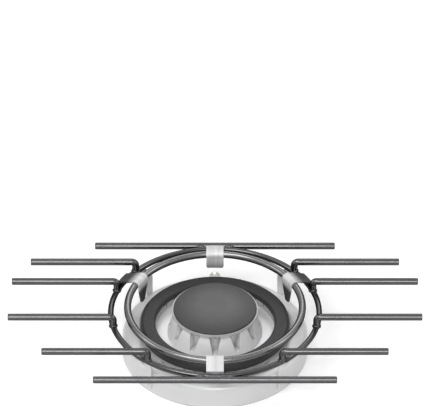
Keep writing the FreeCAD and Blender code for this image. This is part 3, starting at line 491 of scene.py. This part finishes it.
# Lighter copy of the dark enamel for the inner cap: painted light, while the outer cap keeps the darker one.
LIT_ENAMEL = replace(ENAMEL, colour=(0.092, 0.092, 0.094), specular=0.4, kind="_lit_copy")
SUPPORT = Finish("support_wire", (0.10, 0.10, 0.102), 1.0, 0.24, Grain.DRAWN, 1.5e-6,
                 spread=0.08, gloss_spread=0.04, edge_tint=0.0)
RING = Finish("ring_wire", (0.19, 0.19, 0.192), 1.0, 0.28, Grain.DRAWN, 1.5e-6,
              gloss_spread=0.04, edge_tint=0.0)
CLIP = Finish("clip_steel", (0.69, 0.69, 0.695), 0.3, 0.56, Grain.BRUSHED, 2e-6, spread=0.12)
BRASS = Finish("brass", (0.74, 0.54, 0.24), 1.0, 0.32, Grain.DRAWN, 8e-7, soft_edge=2e-4)
PLATED = Finish("plated_brass", (0.70, 0.69, 0.67), 1.0, 0.34, Grain.DRAWN, 7e-7)
FIBRE = Finish("fibre", (0.20, 0.20, 0.20), 0.0, 0.75, Grain.FIBRE, 2e-5, spread=0.2)
CERAMIC = Finish("ceramic", (0.86, 0.85, 0.81), 0.0, 0.22, Grain.GLAZE, 1e-5, spread=0.04, coat=0.5)
SENSOR = Finish("sensor_steel", (0.52, 0.51, 0.50), 1.0, 0.36, Grain.DRAWN, 8e-7, spread=0.12)
FASTENER = Finish("fastener_steel", (0.60, 0.60, 0.59), 1.0, 0.38, Grain.DRAWN, 8e-7,
                  soft_edge=2e-4)


@dataclass
class Patch:
    """Grid of points; rows or columns that run round are joined end to end."""

    points: np.ndarray
    round_rows: bool = False
    round_columns: bool = False

    def faces(self, start: int) -> np.ndarray:
        """Four corners of every cell.

        Args:
            start: number of the patch's first point in the mesh.

        Returns:
            Array of point numbers, one row per face.
        """
        rows, columns = self.points.shape[:2]
        numbers = start + np.arange(rows * columns).reshape(rows, columns)
        down = np.take(numbers, np.arange(rows + int(self.round_rows)), axis=0, mode="wrap")
        cells = np.take(down, np.arange(columns + int(self.round_columns)), axis=1, mode="wrap")
        corners = (cells[:-1, :-1], cells[:-1, 1:], cells[1:, 1:], cells[1:, :-1])
        return np.stack(corners, axis=-1).reshape(-1, 4)


def make_piece(name: str, patches: list[Patch], sharp: float = 40.0) -> bpy.types.Object:
    """One object from closed patches, with poles merged and faces turned outward.

    Args:
        name: name of the piece.
        patches: its surfaces.
        sharp: angle in degrees past which an edge stays sharp.

    Returns:
        The object, at the origin.
    """
    points, faces, start = [], [], 0
    for patch in patches:
        flat = patch.points.reshape(-1, 3)
        points.append(flat)
        faces.append(patch.faces(start))
        start += len(flat)
    mesh = bpy.data.meshes.new(name)
    mesh.from_pydata(np.concatenate(points).tolist(), [], np.concatenate(faces).tolist())
    work = bmesh.new()
    work.from_mesh(mesh)
    bmesh.ops.remove_doubles(work, verts=work.verts, dist=MERGED)
    bmesh.ops.dissolve_degenerate(work, edges=work.edges, dist=SLIVER)
    bmesh.ops.recalc_face_normals(work, faces=work.faces)
    work.to_mesh(mesh)
    work.free()
    mesh.shade_smooth()
    mesh.set_sharp_from_angle(angle=math.radians(sharp))
    piece = bpy.data.objects.new(name, mesh)
    bpy.context.scene.collection.objects.link(piece)
    return piece


def unit(vectors: np.ndarray) -> np.ndarray:
    """Vectors of length one."""
    return vectors / np.linalg.norm(vectors, axis=-1, keepdims=True)


def tube(path: np.ndarray, radii: np.ndarray, sides: int, closed: bool) -> Patch:
    """Circle carried along a path: centre + r (cos a side + sin a up), square to the path.

    Args:
        path: points of the centre line.
        radii: radius at each point.
        sides: points round the circle.
        closed: whether the path runs back into itself.

    Returns:
        The surface.
    """
    if closed:
        along = unit(np.roll(path, -1, axis=0) - np.roll(path, 1, axis=0))
    else:
        along = unit(np.gradient(path, axis=0))
    side = unit(np.cross(along, np.array([0.0, 0.0, 1.0])))
    up = np.cross(side, along)
    angle = np.linspace(0.0, TURN, sides, endpoint=False)[None, :, None]
    ring = np.cos(angle) * side[:, None] + np.sin(angle) * up[:, None]
    return Patch(path[:, None] + radii[:, None, None] * ring, closed, True)


def lathe(outline: np.ndarray, sides: int) -> np.ndarray:
    """Outline of radius and height turned about the Z axis: (r cos a, r sin a, z).

    Args:
        outline: rows of radius and height.
        sides: points round.

    Returns:
        Points of shape (rows, sides, 3).
    """
    angle = np.linspace(0.0, TURN, sides, endpoint=False)[None, :]
    radius, height = outline[:, :1], outline[:, 1:]
    return np.stack([radius * np.cos(angle), radius * np.sin(angle),
                     height + 0.0 * angle], axis=-1)


def along_y(points: np.ndarray, height: float) -> np.ndarray:
    """Points of a piece turned about Z, laid along Y at a height.

    Args:
        points: points about the Z axis.
        height: height of the axis above the floor.

    Returns:
        The points, with the old Z along Y.
    """
    x, y, z = np.moveaxis(points, -1, 0)
    return np.stack([x, z, height - y], axis=-1)


def arc(centre: Pair, radius: float, start: float, end: float, count: int) -> np.ndarray:
    """Arc in the plane of radius and height: centre + radius (sin a, cos a).

    Args:
        centre: radius and height of the middle.
        radius: radius of the arc.
        start: first angle in degrees, from straight up towards the outside.
        end: last angle.
        count: points on the arc.

    Returns:
        Rows of radius and height.
    """
    angle = np.radians(np.linspace(start, end, count))[:, None]
    return np.array(centre) + radius * np.concatenate([np.sin(angle), np.cos(angle)], axis=1)


@dataclass
class BentSheet:
    """Bent sheet: a middle line of radius and height, spread sideways round the burner's axis."""

    name: str
    line: np.ndarray
    half: np.ndarray
    turn: float
    thick: float
    edge: float = 0.3 * MM
    edge_rows: int = 3
    edge_bend: float = 50.0
    columns: int = 9

    def build(self) -> bpy.types.Object:
        """Builds the sheet: sideways y = u half, outward x = sqrt(r r - y y), turned about Z.

        Returns:
            The piece, with its thickness and rounded edges.
        """
        share = np.linspace(-1.0, 1.0, self.columns)[None, :]
        radius, height = self.line[:, :1], self.line[:, 1:]
        side = share * self.half[:, None]
        out = np.sqrt(radius ** 2 - side ** 2)
        cos, sin = math.cos(math.radians(self.turn)), math.sin(math.radians(self.turn))
        points = np.stack([out * cos - side * sin, out * sin + side * cos,
                           height + 0.0 * side], axis=-1)
        piece = make_piece(self.name, [Patch(points)], sharp=180.0)
        wall = piece.modifiers.new("wall", "SOLIDIFY")
        wall.thickness, wall.offset, wall.use_even_offset = self.thick, 0.0, True
        rounding = piece.modifiers.new("rounding", "BEVEL")
        rounding.width, rounding.segments = self.edge, self.edge_rows
        rounding.limit_method, rounding.angle_limit = "ANGLE", math.radians(self.edge_bend)
        rounding.harden_normals = True
        return piece


@dataclass
class Nut:
    """Hexagon nut about the Z axis, with corners turned off to a cone.

    The cone starts at a share of the flats' radius, rises by its slope, and is carried a little past the
    height at which it meets the corners.
    """

    corner: float
    hole: float
    low: float
    high: float
    cone_start: float = 0.985
    cone_slope: float = 0.5
    cone_reach: float = 1.3
    edge: float = 0.35 * MM
    sides: int = 180
    rows: int = 6

    def points(self) -> np.ndarray:
        """Points of the nut: the radius is the smaller of hexagon and cone.

        Returns:
            Points about the Z axis, closed through the hole.
        """
        half_side = math.pi / 6.0
        flat = self.corner * math.cos(half_side)
        angle = np.linspace(0.0, TURN, self.sides, endpoint=False)
        hexagon = flat / np.cos((angle + half_side) % (2.0 * half_side) - half_side)
        rise = np.linspace(0.0, (self.corner - flat) * self.cone_slope * self.cone_reach, self.rows)
        heights = np.concatenate([self.low + rise, self.high - rise[::-1]])
        inward = np.minimum(heights - self.low, self.high - heights)
        cone = flat * self.cone_start + inward / self.cone_slope
        radius = np.minimum(hexagon[None, :], cone[:, None])
        wall = np.stack([radius * np.cos(angle), radius * np.sin(angle),
                         heights[:, None] + 0.0 * radius], axis=-1)
        wide = self.hole + self.edge
        mouth = np.array([[wide, self.high], [self.hole, self.high - self.edge],
                          [self.hole, self.low + self.edge], [wide, self.low]])
        return np.concatenate([wall, lathe(mouth, self.sides)])


@dataclass
class BurnerBase:
    """Bowl, cover, casting, gas way, sensors and seat brackets.

    The thread has thread_rows rows to a turn and is fully cut after thread_run turns. thread_power
    narrows its crests, which fall by thread_lead times its depth over the last turn.
    """

    inlet_height: float = 12.0 * MM
    inlet_shank: float = 5.2 * MM
    inlet_collar: float = 6.6 * MM
    collar_face: float = 77.62 * MM
    collar_thick: float = 4.0 * MM
    inlet_pipe: float = 3.4 * MM
    inlet_bore: float = 2.2 * MM
    inlet_mouth: float = 1.2 * MM
    inlet_edge: float = 0.3 * MM
    inlet_sharp: float = 35.0
    thread_radius: float = 4.86 * MM
    thread_depth: float = 0.58 * MM
    thread_pitch: float = 0.907 * MM
    thread_power: float = 0.7
    thread_run: float = 1.5
    thread_lead: float = 1.2
    thread_sides: int = 96
    thread_rows: int = 14
    nut_play: float = 0.2 * MM
    nut_sharp: float = 25.0
    probe_hole: float = 1.85 * MM
    bowl_radius: float = 80.0 * MM
    bracket_turns: tuple[tuple[str, float], ...] = (
        ("back_right", 45.0), ("back_left", 135.0), ("front_left", 225.0), ("front_right", 315.0))
    bracket_thick: float = 1.5 * MM
    bracket_wide: float = 7.0 * MM
    bracket_bend: float = 2.0 * MM
    bracket_foot: float = 6.0 * MM
    bracket_lip: float = 12.0
    bend_rows: int = 9
    seat_rows: int = 13
    seat_clear: float = 0.3 * MM
    rivet_height: float = 11.0 * MM
    rivet_head: float = 2.4 * MM
    rivet_shank: float = 1.6 * MM
    rivet_tail: float = 2.0 * MM
    rivet_dome: float = 1.3 * MM
    rivet_end: float = 1.4 * MM
    rivet_flare: float = 0.8 * MM
    rivet_clear: float = 0.25 * MM
    rivet_lift: float = 0.1 * MM
    rivet_rows: int = 10
    rivet_sides: int = 32
    bowl_wall: float = 2.0 * MM

    def build_nuts(self) -> None:
        """Builds the lock nut of the gas inlet and the nut of the thermocouple."""
        low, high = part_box("inlet_nut")
        hole = self.inlet_shank + self.nut_play
        points = along_y(Nut((high.x - low.x) / 2.0, hole, low.y, high.y).points(), self.inlet_height)
        nut = make_piece("inlet_lock_nut", [Patch(points, True, True)], sharp=self.nut_sharp)
        PLATED.dress(nut)
        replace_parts(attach(nut, "base"), "inlet_nut")
        low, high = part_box("thermocouple_nut")
        middle = (low + high) / 2.0
        points = Nut((high.x - low.x) / 2.0, self.probe_hole, low.z, high.z).points()
        points = points + np.array([middle.x, middle.y, 0.0])
        nut = make_piece("probe_nut", [Patch(points, True, True)], sharp=self.nut_sharp)
        SENSOR.dress(nut)
        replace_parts(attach(nut, "base"), "thermocouple_nut")

    def build_inlet(self) -> None:
        """Builds the gas inlet with its thread: radius falls by a rounded wave along a helix."""
        edge, mouth, sides = self.inlet_edge, self.inlet_mouth, self.thread_sides
        low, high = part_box("gas_inlet")
        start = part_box("inlet_nut")[1].y
        count = int((high.y - start) / self.thread_pitch * self.thread_rows)
        height = np.linspace(start, high.y, count)[:, None]
        angle = np.linspace(0.0, TURN, sides, endpoint=False)[None, :]
        wave = 0.5 - 0.5 * np.cos(TURN * (height / self.thread_pitch - angle / TURN))
        run = np.clip((height - start) / (self.thread_run * self.thread_pitch), 0.0, 1.0)
        lead = np.clip((high.y - height) / self.thread_pitch, 0.0, 1.0)
        radius = self.thread_radius - self.thread_depth * (wave ** self.thread_power) * run
        radius = radius - (1.0 - lead) * self.thread_depth * self.thread_lead * (1.0 - wave)
        thread = np.stack([radius * np.cos(angle), radius * np.sin(angle),
                           height + 0.0 * radius], axis=-1)
        face, back = self.collar_face, self.collar_face - self.collar_thick
        before = np.array([
            [self.inlet_bore, low.y], [self.inlet_pipe, low.y], [self.inlet_pipe, back],
            [self.inlet_collar - edge, back], [self.inlet_collar, back + edge],
            [self.inlet_collar, face - edge], [self.inlet_collar - edge, face],
            [self.inlet_shank, face], [self.inlet_shank, start - edge],
            [self.inlet_shank - edge, start]])
        after = np.array([
            [self.thread_radius - 2.0 * self.thread_depth, high.y],
            [self.inlet_bore + mouth, high.y], [self.inlet_bore, high.y - mouth]])
        points = np.concatenate([lathe(before, sides), thread, lathe(after, sides)])
        points = along_y(points, self.inlet_height)
        inlet = make_piece("inlet_union", [Patch(points, True, True)], sharp=self.inlet_sharp)
        PLATED.dress(inlet)
        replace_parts(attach(inlet, "base"), "gas_inlet")

    def build_brackets(self, hoop: "Hoop") -> None:
        """Builds the seat brackets: up the bowl's wall, out along a shelf and round under the hoop.

        Args:
            hoop: size and place of the hoop that rests on them.
        """
        half_sheet = self.bracket_thick / 2.0
        seat = hoop.wire + self.seat_clear + half_sheet
        shelf = hoop.height - seat
        bend = self.bracket_bend + half_sheet
        wall = self.bowl_radius + half_sheet
        line = np.concatenate([
            np.array([[wall, self.bracket_foot]]),
            arc((wall + bend, shelf - bend), bend, -90.0, 0.0, self.bend_rows),
            arc((hoop.radius, hoop.height), seat, 180.0, 90.0 + self.bracket_lip, self.seat_rows)])
        half = line[:, 0] * (self.bracket_wide / 2.0 / self.bowl_radius)
        for name, turn in self.bracket_turns:
            bracket = BentSheet(f"bracket_{name}", line, half, turn, self.bracket_thick).build()
            BOWL.dress(bracket)
            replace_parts(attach(bracket, "base"), f"seat_bracket_{name}")

    def rivet(self, turn: float) -> Patch:
        """Rivet along the radius: a turned outline with a domed head, a shank and a spread tail.

        Args:
            turn: bearing of the rivet in degrees.

        Returns:
            The rivet.
        """
        inside = self.bowl_radius - self.bowl_wall
        outside = self.bowl_radius + self.bracket_thick + self.rivet_lift
        end, flare, clear = inside - self.rivet_end, inside - self.rivet_flare, inside - self.rivet_clear
        tail = np.array([[0.0, end], [self.rivet_shank, end], [self.rivet_tail, flare],
                         [self.rivet_tail, clear], [self.rivet_shank, clear], [self.rivet_shank, outside]])
        rise = np.linspace(0.0, math.pi / 2.0, self.rivet_rows)
        dome = np.stack([self.rivet_head * np.cos(rise), outside + self.rivet_dome * np.sin(rise)], axis=1)
        dome[-1, 0] = 0.0
        outline = np.concatenate([tail, dome])
        side, up, along = np.moveaxis(lathe(outline, self.rivet_sides), -1, 0)
        cos, sin = math.cos(math.radians(turn)), math.sin(math.radians(turn))
        points = np.stack([along * cos - side * sin, along * sin + side * cos,
                           self.rivet_height + up], axis=-1)
        return Patch(points, False, True)

    def build_rivets(self) -> None:
        """Builds the rivets of the seat brackets."""
        rivets = make_piece("seat_rivets", [self.rivet(turn) for _name, turn in self.bracket_turns])
        FASTENER.dress(rivets)
        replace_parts(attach(rivets, "base"), "bracket_rivets")

    def dress(self) -> None:
        """Dresses the nodes of the base."""
        BOWL.dress_nodes("burner_bowl")
        COVER.dress_nodes("bottom_cover")
        CASTING.dress_nodes("mixing_body", "injector_rail")
        BRASS.dress_nodes("inner_injector", "outer_injectors")
        FIBRE.dress_nodes("inlet_seal")
        CERAMIC.dress_nodes("spark_ceramic")
        SENSOR.dress_nodes("spark_pin", "thermocouple", "spark_clip")
        FASTENER.dress_nodes("cover_screws", "body_screws", "rail_screws")


@dataclass
class Crowns:
    """Outer crown with its cap, and inner crown with its cap; depths are below the top of a piece."""

    # Painted shade: a darker band on the inner crown's rim just under the cap, and a darker edge and side on
    # the inner cap.
    rim_tone: Colour = (0.42, 0.42, 0.42)
    rim_depth: Pair = (1.8 * MM, 0.4 * MM)
    cap_tone: Colour = (0.030, 0.030, 0.031)
    cap_radius: Pair = (12.0 * MM, 38.0 * MM)
    cap_depth: Pair = (0.9 * MM, 4.5 * MM)
    cap_breaks: float = 0.3

    def below(self, name: str, depths: Pair) -> Pair:
        """Heights at two depths below the top of a node."""
        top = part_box(name)[1].z
        return top - depths[0], top - depths[1]

    def dress(self) -> None:
        """Dresses the crowns and the caps; painted shade darkens the inner crown's rim under the cap, and
        the inner cap's edge and side.
        """
        rim = PaintedShade(self.rim_tone, None, self.below("inner_crown", self.rim_depth))
        heights = self.below("inner_cap", self.cap_depth)
        cap = PaintedShade(self.cap_tone, self.cap_radius, heights, self.cap_breaks)
        CASTING.dress_nodes("outer_crown")
        replace(CROWN, painted_shade=rim).dress_nodes("inner_crown")
        ENAMEL.dress_nodes("outer_cap")
        replace(LIT_ENAMEL, painted_shade=cap).dress_nodes("inner_cap")


@dataclass
class Hoop:
    """Size and place of the support's wire hoop."""

    wire: float = 2.5 * MM
    radius: float = 0.0
    height: float = 0.0

    def __post_init__(self) -> None:
        """Reads the hoop's place from the frame."""
        low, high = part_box("support_hoop")
        self.radius = (high.x - low.x) / 2.0 - self.wire
        self.height = (high.z + low.z) / 2.0


@dataclass
class PanSupport:
    """Wire hoop, bars and fingers, with the weld beads that join them."""

    hoop: Hoop
    wire: float = 3.0 * MM
    finger_foot: float = 0.9 * MM
    finger_turns: tuple[float, ...] = (40.1, 19.5, -13.2, -50.0)
    finger_bead: float = 0.95 * MM
    finger_bead_bite: float = 0.1 * MM
    finger_bead_waves: tuple[Triple, ...] = ((0.12, 5.0, 7.0), (0.07, 22.0, 0.0))
    finger_bead_rows: int = 144
    finger_bead_sides: int = 12
    bar_bead: float = 1.425 * MM
    bar_bead_place: float = 12.6 * MM
    bar_bead_half: float = 4.2 * MM
    bar_bead_deep: float = 0.7 * MM
    bar_bead_lift: float = 1.5 * MM
    bar_bead_ripple: float = 0.08
    bar_bead_rate: float = 3600.0
    bar_bead_rows: int = 30
    bar_bead_sides: int = 14

    def finger_weld(self, side: float, turn: float) -> Patch:
        """Bead round a finger's foot, where an upright wire stands on the hoop.

        The line is a circle of the finger's radius, at the height of the hoop's round section below
        it and no lower than the foot. The bead's radius varies by waves, each with its size, its
        number round the finger and its shift per radian of the finger's bearing.

        Args:
            side: 1 for the right, -1 for the left.
            turn: bearing of the finger off the X axis in degrees.

        Returns:
            The bead.
        """
        angle = np.linspace(0.0, TURN, self.finger_bead_rows, endpoint=False)
        bearing = math.radians(turn if side > 0.0 else 180.0 - turn)
        reach = self.wire - self.finger_bead_bite
        across, along = reach * np.sin(angle), reach * np.cos(angle)
        drop = np.maximum(self.hoop.wire ** 2 - across ** 2, self.finger_foot ** 2)
        path = np.stack([
            (self.hoop.radius + across) * math.cos(bearing) - along * math.sin(bearing),
            (self.hoop.radius + across) * math.sin(bearing) + along * math.cos(bearing),
            self.hoop.height + np.sqrt(drop)], axis=-1)
        swell = sum(size * np.sin(number * angle + shift * bearing)
                    for size, number, shift in self.finger_bead_waves)
        return tube(path, self.finger_bead * (1.0 + swell), self.finger_bead_sides, True)

    def bar_weld(self, middle: Triple) -> Patch:
        """Bead in the groove between a bar and the hoop: a spindle along X with a rippled radius.

        Args:
            middle: middle of the bead.

        Returns:
            The bead.
        """
        share = np.sin(np.linspace(-math.pi / 2.0, math.pi / 2.0, self.bar_bead_rows))
        along = share * self.bar_bead_half
        path = np.array(middle)[None, :] + np.stack([along, 0.0 * share, 0.0 * share], axis=-1)
        ripple = 1.0 + self.bar_bead_ripple * np.sin(self.bar_bead_rate * along)
        radii = self.bar_bead * np.sqrt(np.maximum(1.0 - share ** 2, 0.0)) * ripple
        return tube(path, radii, self.bar_bead_sides, False)

    def build(self) -> None:
        """Builds the weld beads."""
        beads = [self.finger_weld(side, turn) for side in (1.0, -1.0) for turn in self.finger_turns]
        welds = make_piece("finger_welds", beads)
        SUPPORT.dress(welds)
        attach(welds, "pan_support")
        groove = self.hoop.radius + self.hoop.wire - self.bar_bead_deep
        spots = [(side * self.bar_bead_place, depth * groove, self.hoop.height + level * self.bar_bead_lift)
                 for side in (1.0, -1.0) for depth in (1.0, -1.0) for level in (1.0, -1.0)]
        welds = make_piece("bar_welds", [self.bar_weld(spot) for spot in spots])
        SUPPORT.dress(welds)
        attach(welds, "pan_support")

    def dress(self) -> None:
        """Dresses the wires."""
        fingers = [f"finger_{row}_{side}" for row in ("back", "rear", "fore", "front")
                   for side in ("left", "right")]
        SUPPORT.dress_nodes("support_hoop", "front_bar", "back_bar", *fingers)


@dataclass(frozen=True)
class ClipShape:
    """Tongue of a clip, its lap over the hoop in degrees, and where painted shade darkens it.

    The painted shade starts and is full at distances outward and down from the middle of the ring's wire.
    """

    length: float
    tip: float
    lap: float
    tone: Colour
    outward: Pair
    down: Pair
    breaks: float
    kind: str = ""


class Tongue(Enum):
    """Tongue of a clip, inside the ring."""

    # Parallel sides, with painted shade at the two ends.
    SHORT = ClipShape(11.5 * MM, 15.0 * MM, 30.0, (0.06, 0.06, 0.062),
                      (12.9 * MM, 15.1 * MM), (2.2 * MM, 16.2 * MM), 0.18)
    # Tapered, with painted shade over all but its top.
    LONG = ClipShape(20.0 * MM, 6.0 * MM, 65.0, (0.014, 0.014, 0.0145),
                     (-0.5 * MM, 9.5 * MM), (1.2 * MM, 7.7 * MM), 0.08, "_long")


@dataclass
class WokRing:
    """Wire ring and the four sheet clips that hook over the support's hoop."""

    hoop: Hoop
    wire: float = 3.1 * MM
    play: float = 0.05 * MM
    seat_clear: float = 0.3 * MM
    sheet: float = 1.3 * MM
    clip_wide: float = 15.0 * MM
    clip_tilt: float = 23.0
    clips: tuple[tuple[str, float, Tongue], ...] = (
        ("front", 270.0, Tongue.SHORT), ("back", 90.0, Tongue.SHORT),
        ("right", 29.0, Tongue.LONG), ("left", 151.0, Tongue.LONG))
    tongue_round: float = 2.0 * MM
    corner_rows: int = 8
    strip_rows: int = 9
    ring_rows: int = 25
    hoop_rows: int = 9

    def middle(self) -> Pair:
        """Radius and height of the middle of the ring's wire."""
        low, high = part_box("wok_ring_wire")
        return (high.x - low.x) / 2.0 - self.wire, (high.z + low.z) / 2.0

    def clip(self, name: str, turn: float, shape: ClipShape) -> bpy.types.Object:
        """Sheet clip: up a tongue, over the ring's wire, down a sloping web and over the hoop.

        Args:
            name: name of the clip.
            turn: bearing of the clip in degrees.
            shape: its tongue and lap.

        Returns:
            The clip.
        """
        radius, height = self.middle()
        over_ring = self.wire + self.play + self.sheet / 2.0
        over_hoop = self.hoop.wire + self.seat_clear + self.sheet / 2.0
        curve = 1.0 - np.cos(np.linspace(0.0, math.pi / 2.0, self.corner_rows))
        straight = np.linspace(shape.length - self.tongue_round, 0.0, self.strip_rows)[1:-1]
        fall = np.concatenate([shape.length - self.tongue_round * curve, straight])
        strip = np.stack([0.0 * fall + radius - over_ring, height - fall], axis=1)
        line = np.concatenate([
            strip, arc((radius, height), over_ring, -90.0, self.clip_tilt, self.ring_rows),
            arc((self.hoop.radius, self.hoop.height), over_hoop, self.clip_tilt, shape.lap, self.hoop_rows)])
        share = (line[:, 1] - height + shape.length) / (shape.length - self.wire)
        taper = shape.tip + share * (self.clip_wide - shape.tip)
        half = np.minimum(self.clip_wide, taper) / 2.0
        gap = np.clip(1.0 - (shape.length - fall) / self.tongue_round, 0.0, 1.0)
        half[:len(fall)] -= self.tongue_round * (1.0 - np.sqrt(1.0 - gap ** 2))
        return BentSheet(f"ring_clip_{name}", line, half, turn, self.sheet).build()

    def finish(self, shape: ClipShape) -> Finish:
        """Brushed sheet, with painted shade.

        Args:
            shape: where and how painted shade darkens the clip.

        Returns:
            The finish.
        """
        radius, height = self.middle()
        outward = (radius + shape.outward[0], radius + shape.outward[1])
        down = (height - shape.down[0], height - shape.down[1])
        return replace(CLIP, kind=shape.kind, painted_shade=PaintedShade(shape.tone, outward, down, shape.breaks))

    def build(self) -> None:
        """Builds the clips."""
        for name, turn, tongue in self.clips:
            clip = self.clip(name, turn, tongue.value)
            self.finish(tongue.value).dress(clip)
            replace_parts(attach(clip, "wok_ring"), f"wok_clip_{name}")

    def dress(self) -> None:
        """Dresses the ring's wire."""
        RING.dress_nodes("wok_ring_wire")


@dataclass
class Lamp:
    """One soft square lamp."""

    name: str
    place: Triple
    size: float
    power: float


@dataclass
class Studio:
    """Floor, lamps, sky and camera."""

    aim: Triple = (-3.0 * MM, 77.5 * MM, 103.3 * MM)
    ahead: Triple = (0.0, 0.8, -0.6)
    lens: float = 800.0
    sensor: float = 36.0
    distance: float = 8.147
    fill: float = 0.25
    floor_reach: float = 40.0
    floor_colour: float = 0.85
    floor_roughness: float = 0.9
    floor_glow: Pair = (0.36, 0.78)
    floor_near: float = 0.4
    floor_far: float = 4.0
    lamps: list[Lamp] = field(default_factory=lambda: [
        Lamp("key", (-0.9, -1.2, 2.6), 1.4, 38.0),
        Lamp("front", (0.0, -2.4, 1.8), 1.0, 26.0),
        Lamp("back", (0.3, 2.3, 2.0), 1.4, 13.0),
        Lamp("left", (-2.4, 0.1, 1.8), 1.1, 14.0),
        Lamp("right", (2.4, 0.1, 1.8), 1.1, 14.0)])

    def build_floor(self) -> None:
        """Builds the pale floor, which shows white to the camera and keeps the shadow."""
        line = self.floor_reach * np.array([-1.0, 0.0, 1.0])
        x, y = np.meshgrid(line, line)
        mesh = bpy.data.meshes.new("floor")
        patch = Patch(np.stack([x, y, 0.0 * x], axis=-1))
        mesh.from_pydata(patch.points.reshape(-1, 3).tolist(), [], patch.faces(0).tolist())
        floor = bpy.data.objects.new("floor", mesh)
        bpy.context.scene.collection.objects.link(floor)
        shader = Shader("floor_paint")
        inputs = shader.surface.inputs
        inputs["Base Color"].default_value = (*(3 * (self.floor_colour,)), 1.0)
        inputs["Roughness"].default_value = self.floor_roughness
        inputs["Specular IOR Level"].default_value = 0.0
        inputs["Emission Color"].default_value = (1.0, 1.0, 1.0, 1.0)
        reach = shader.add("ShaderNodeSeparateXYZ", {"Vector": shader.around()}).outputs[0]
        glow = shader.ramp(reach, (self.floor_near, self.floor_far), self.floor_glow)
        shader.feed(inputs["Emission Strength"], shader.math("MULTIPLY", self.seen(shader.tree), glow))
        mesh.materials.append(shader.material)

    def seen(self, tree: bpy.types.NodeTree) -> Socket:
        """One for rays from the camera, a mirror or glass, else zero.

        Args:
            tree: node tree to add to.

        Returns:
            The output socket.
        """
        rays = tree.nodes.new("ShaderNodeLightPath").outputs
        shown = rays["Is Camera Ray"]
        for name in ("Is Glossy Ray", "Is Transmission Ray"):
            either = tree.nodes.new("ShaderNodeMath")
            either.operation = "MAXIMUM"
            tree.links.new(shown, either.inputs[0])
            tree.links.new(rays[name], either.inputs[1])
            shown = either.outputs[0]
        return shown

    def build_sky(self) -> None:
        """Builds the even sky: a soft fill, and white where it is seen."""
        world = bpy.data.worlds.new("studio")
        bpy.context.scene.world = world
        world.use_nodes = True
        tree = world.node_tree
        tree.nodes.clear()
        level = tree.nodes.new("ShaderNodeMapRange")
        level.inputs["To Min"].default_value = self.fill
        level.inputs["To Max"].default_value = 1.0
        tree.links.new(self.seen(tree), level.inputs["Value"])
        sky = tree.nodes.new("ShaderNodeBackground")
        tree.links.new(level.outputs[0], sky.inputs["Strength"])
        output = tree.nodes.new("ShaderNodeOutputWorld")
        tree.links.new(sky.outputs[0], output.inputs["Surface"])

    def build_lamps(self) -> None:
        """Builds the lamps, each turned to the burner."""
        for lamp in self.lamps:
            light = bpy.data.lights.new(lamp.name, "AREA")
            light.energy, light.size = lamp.power, lamp.size
            item = bpy.data.objects.new(lamp.name, light)
            item.location = lamp.place
            item.rotation_mode = "QUATERNION"
            item.rotation_quaternion = (-Vector(lamp.place)).to_track_quat("-Z", "Y")
            bpy.context.scene.collection.objects.link(item)

    def build_camera(self) -> None:
        """Builds the long-lens camera, looking down at the burner from the front."""
        data = bpy.data.cameras.new("camera")
        data.lens = self.lens
        data.sensor_width = self.sensor
        camera = bpy.data.objects.new("camera", data)
        ahead = Vector(self.ahead)
        camera.location = Vector(self.aim) - ahead * self.distance
        camera.rotation_mode = "QUATERNION"
        camera.rotation_quaternion = ahead.to_track_quat("-Z", "Y")
        bpy.context.scene.collection.objects.link(camera)
        bpy.context.scene.camera = camera

    def build(self) -> None:
        """Builds the whole studio."""
        self.build_floor()
        self.build_sky()
        self.build_lamps()
        self.build_camera()
        bpy.context.scene.view_settings.view_transform = "Standard"


def main() -> None:
    """Builds and dresses the burner, then the studio."""
    logging.basicConfig(level=logging.INFO, format="%(name)s %(message)s")
    hoop = Hoop()
    base = BurnerBase()
    base.build_inlet()
    base.build_nuts()
    base.build_brackets(hoop)
    base.build_rivets()
    base.dress()
    Crowns().dress()
    support = PanSupport(hoop)
    support.build()
    support.dress()
    ring = WokRing(hoop)
    ring.build()
    ring.dress()
    Studio().build()


if __name__ == "__main__":
    main()
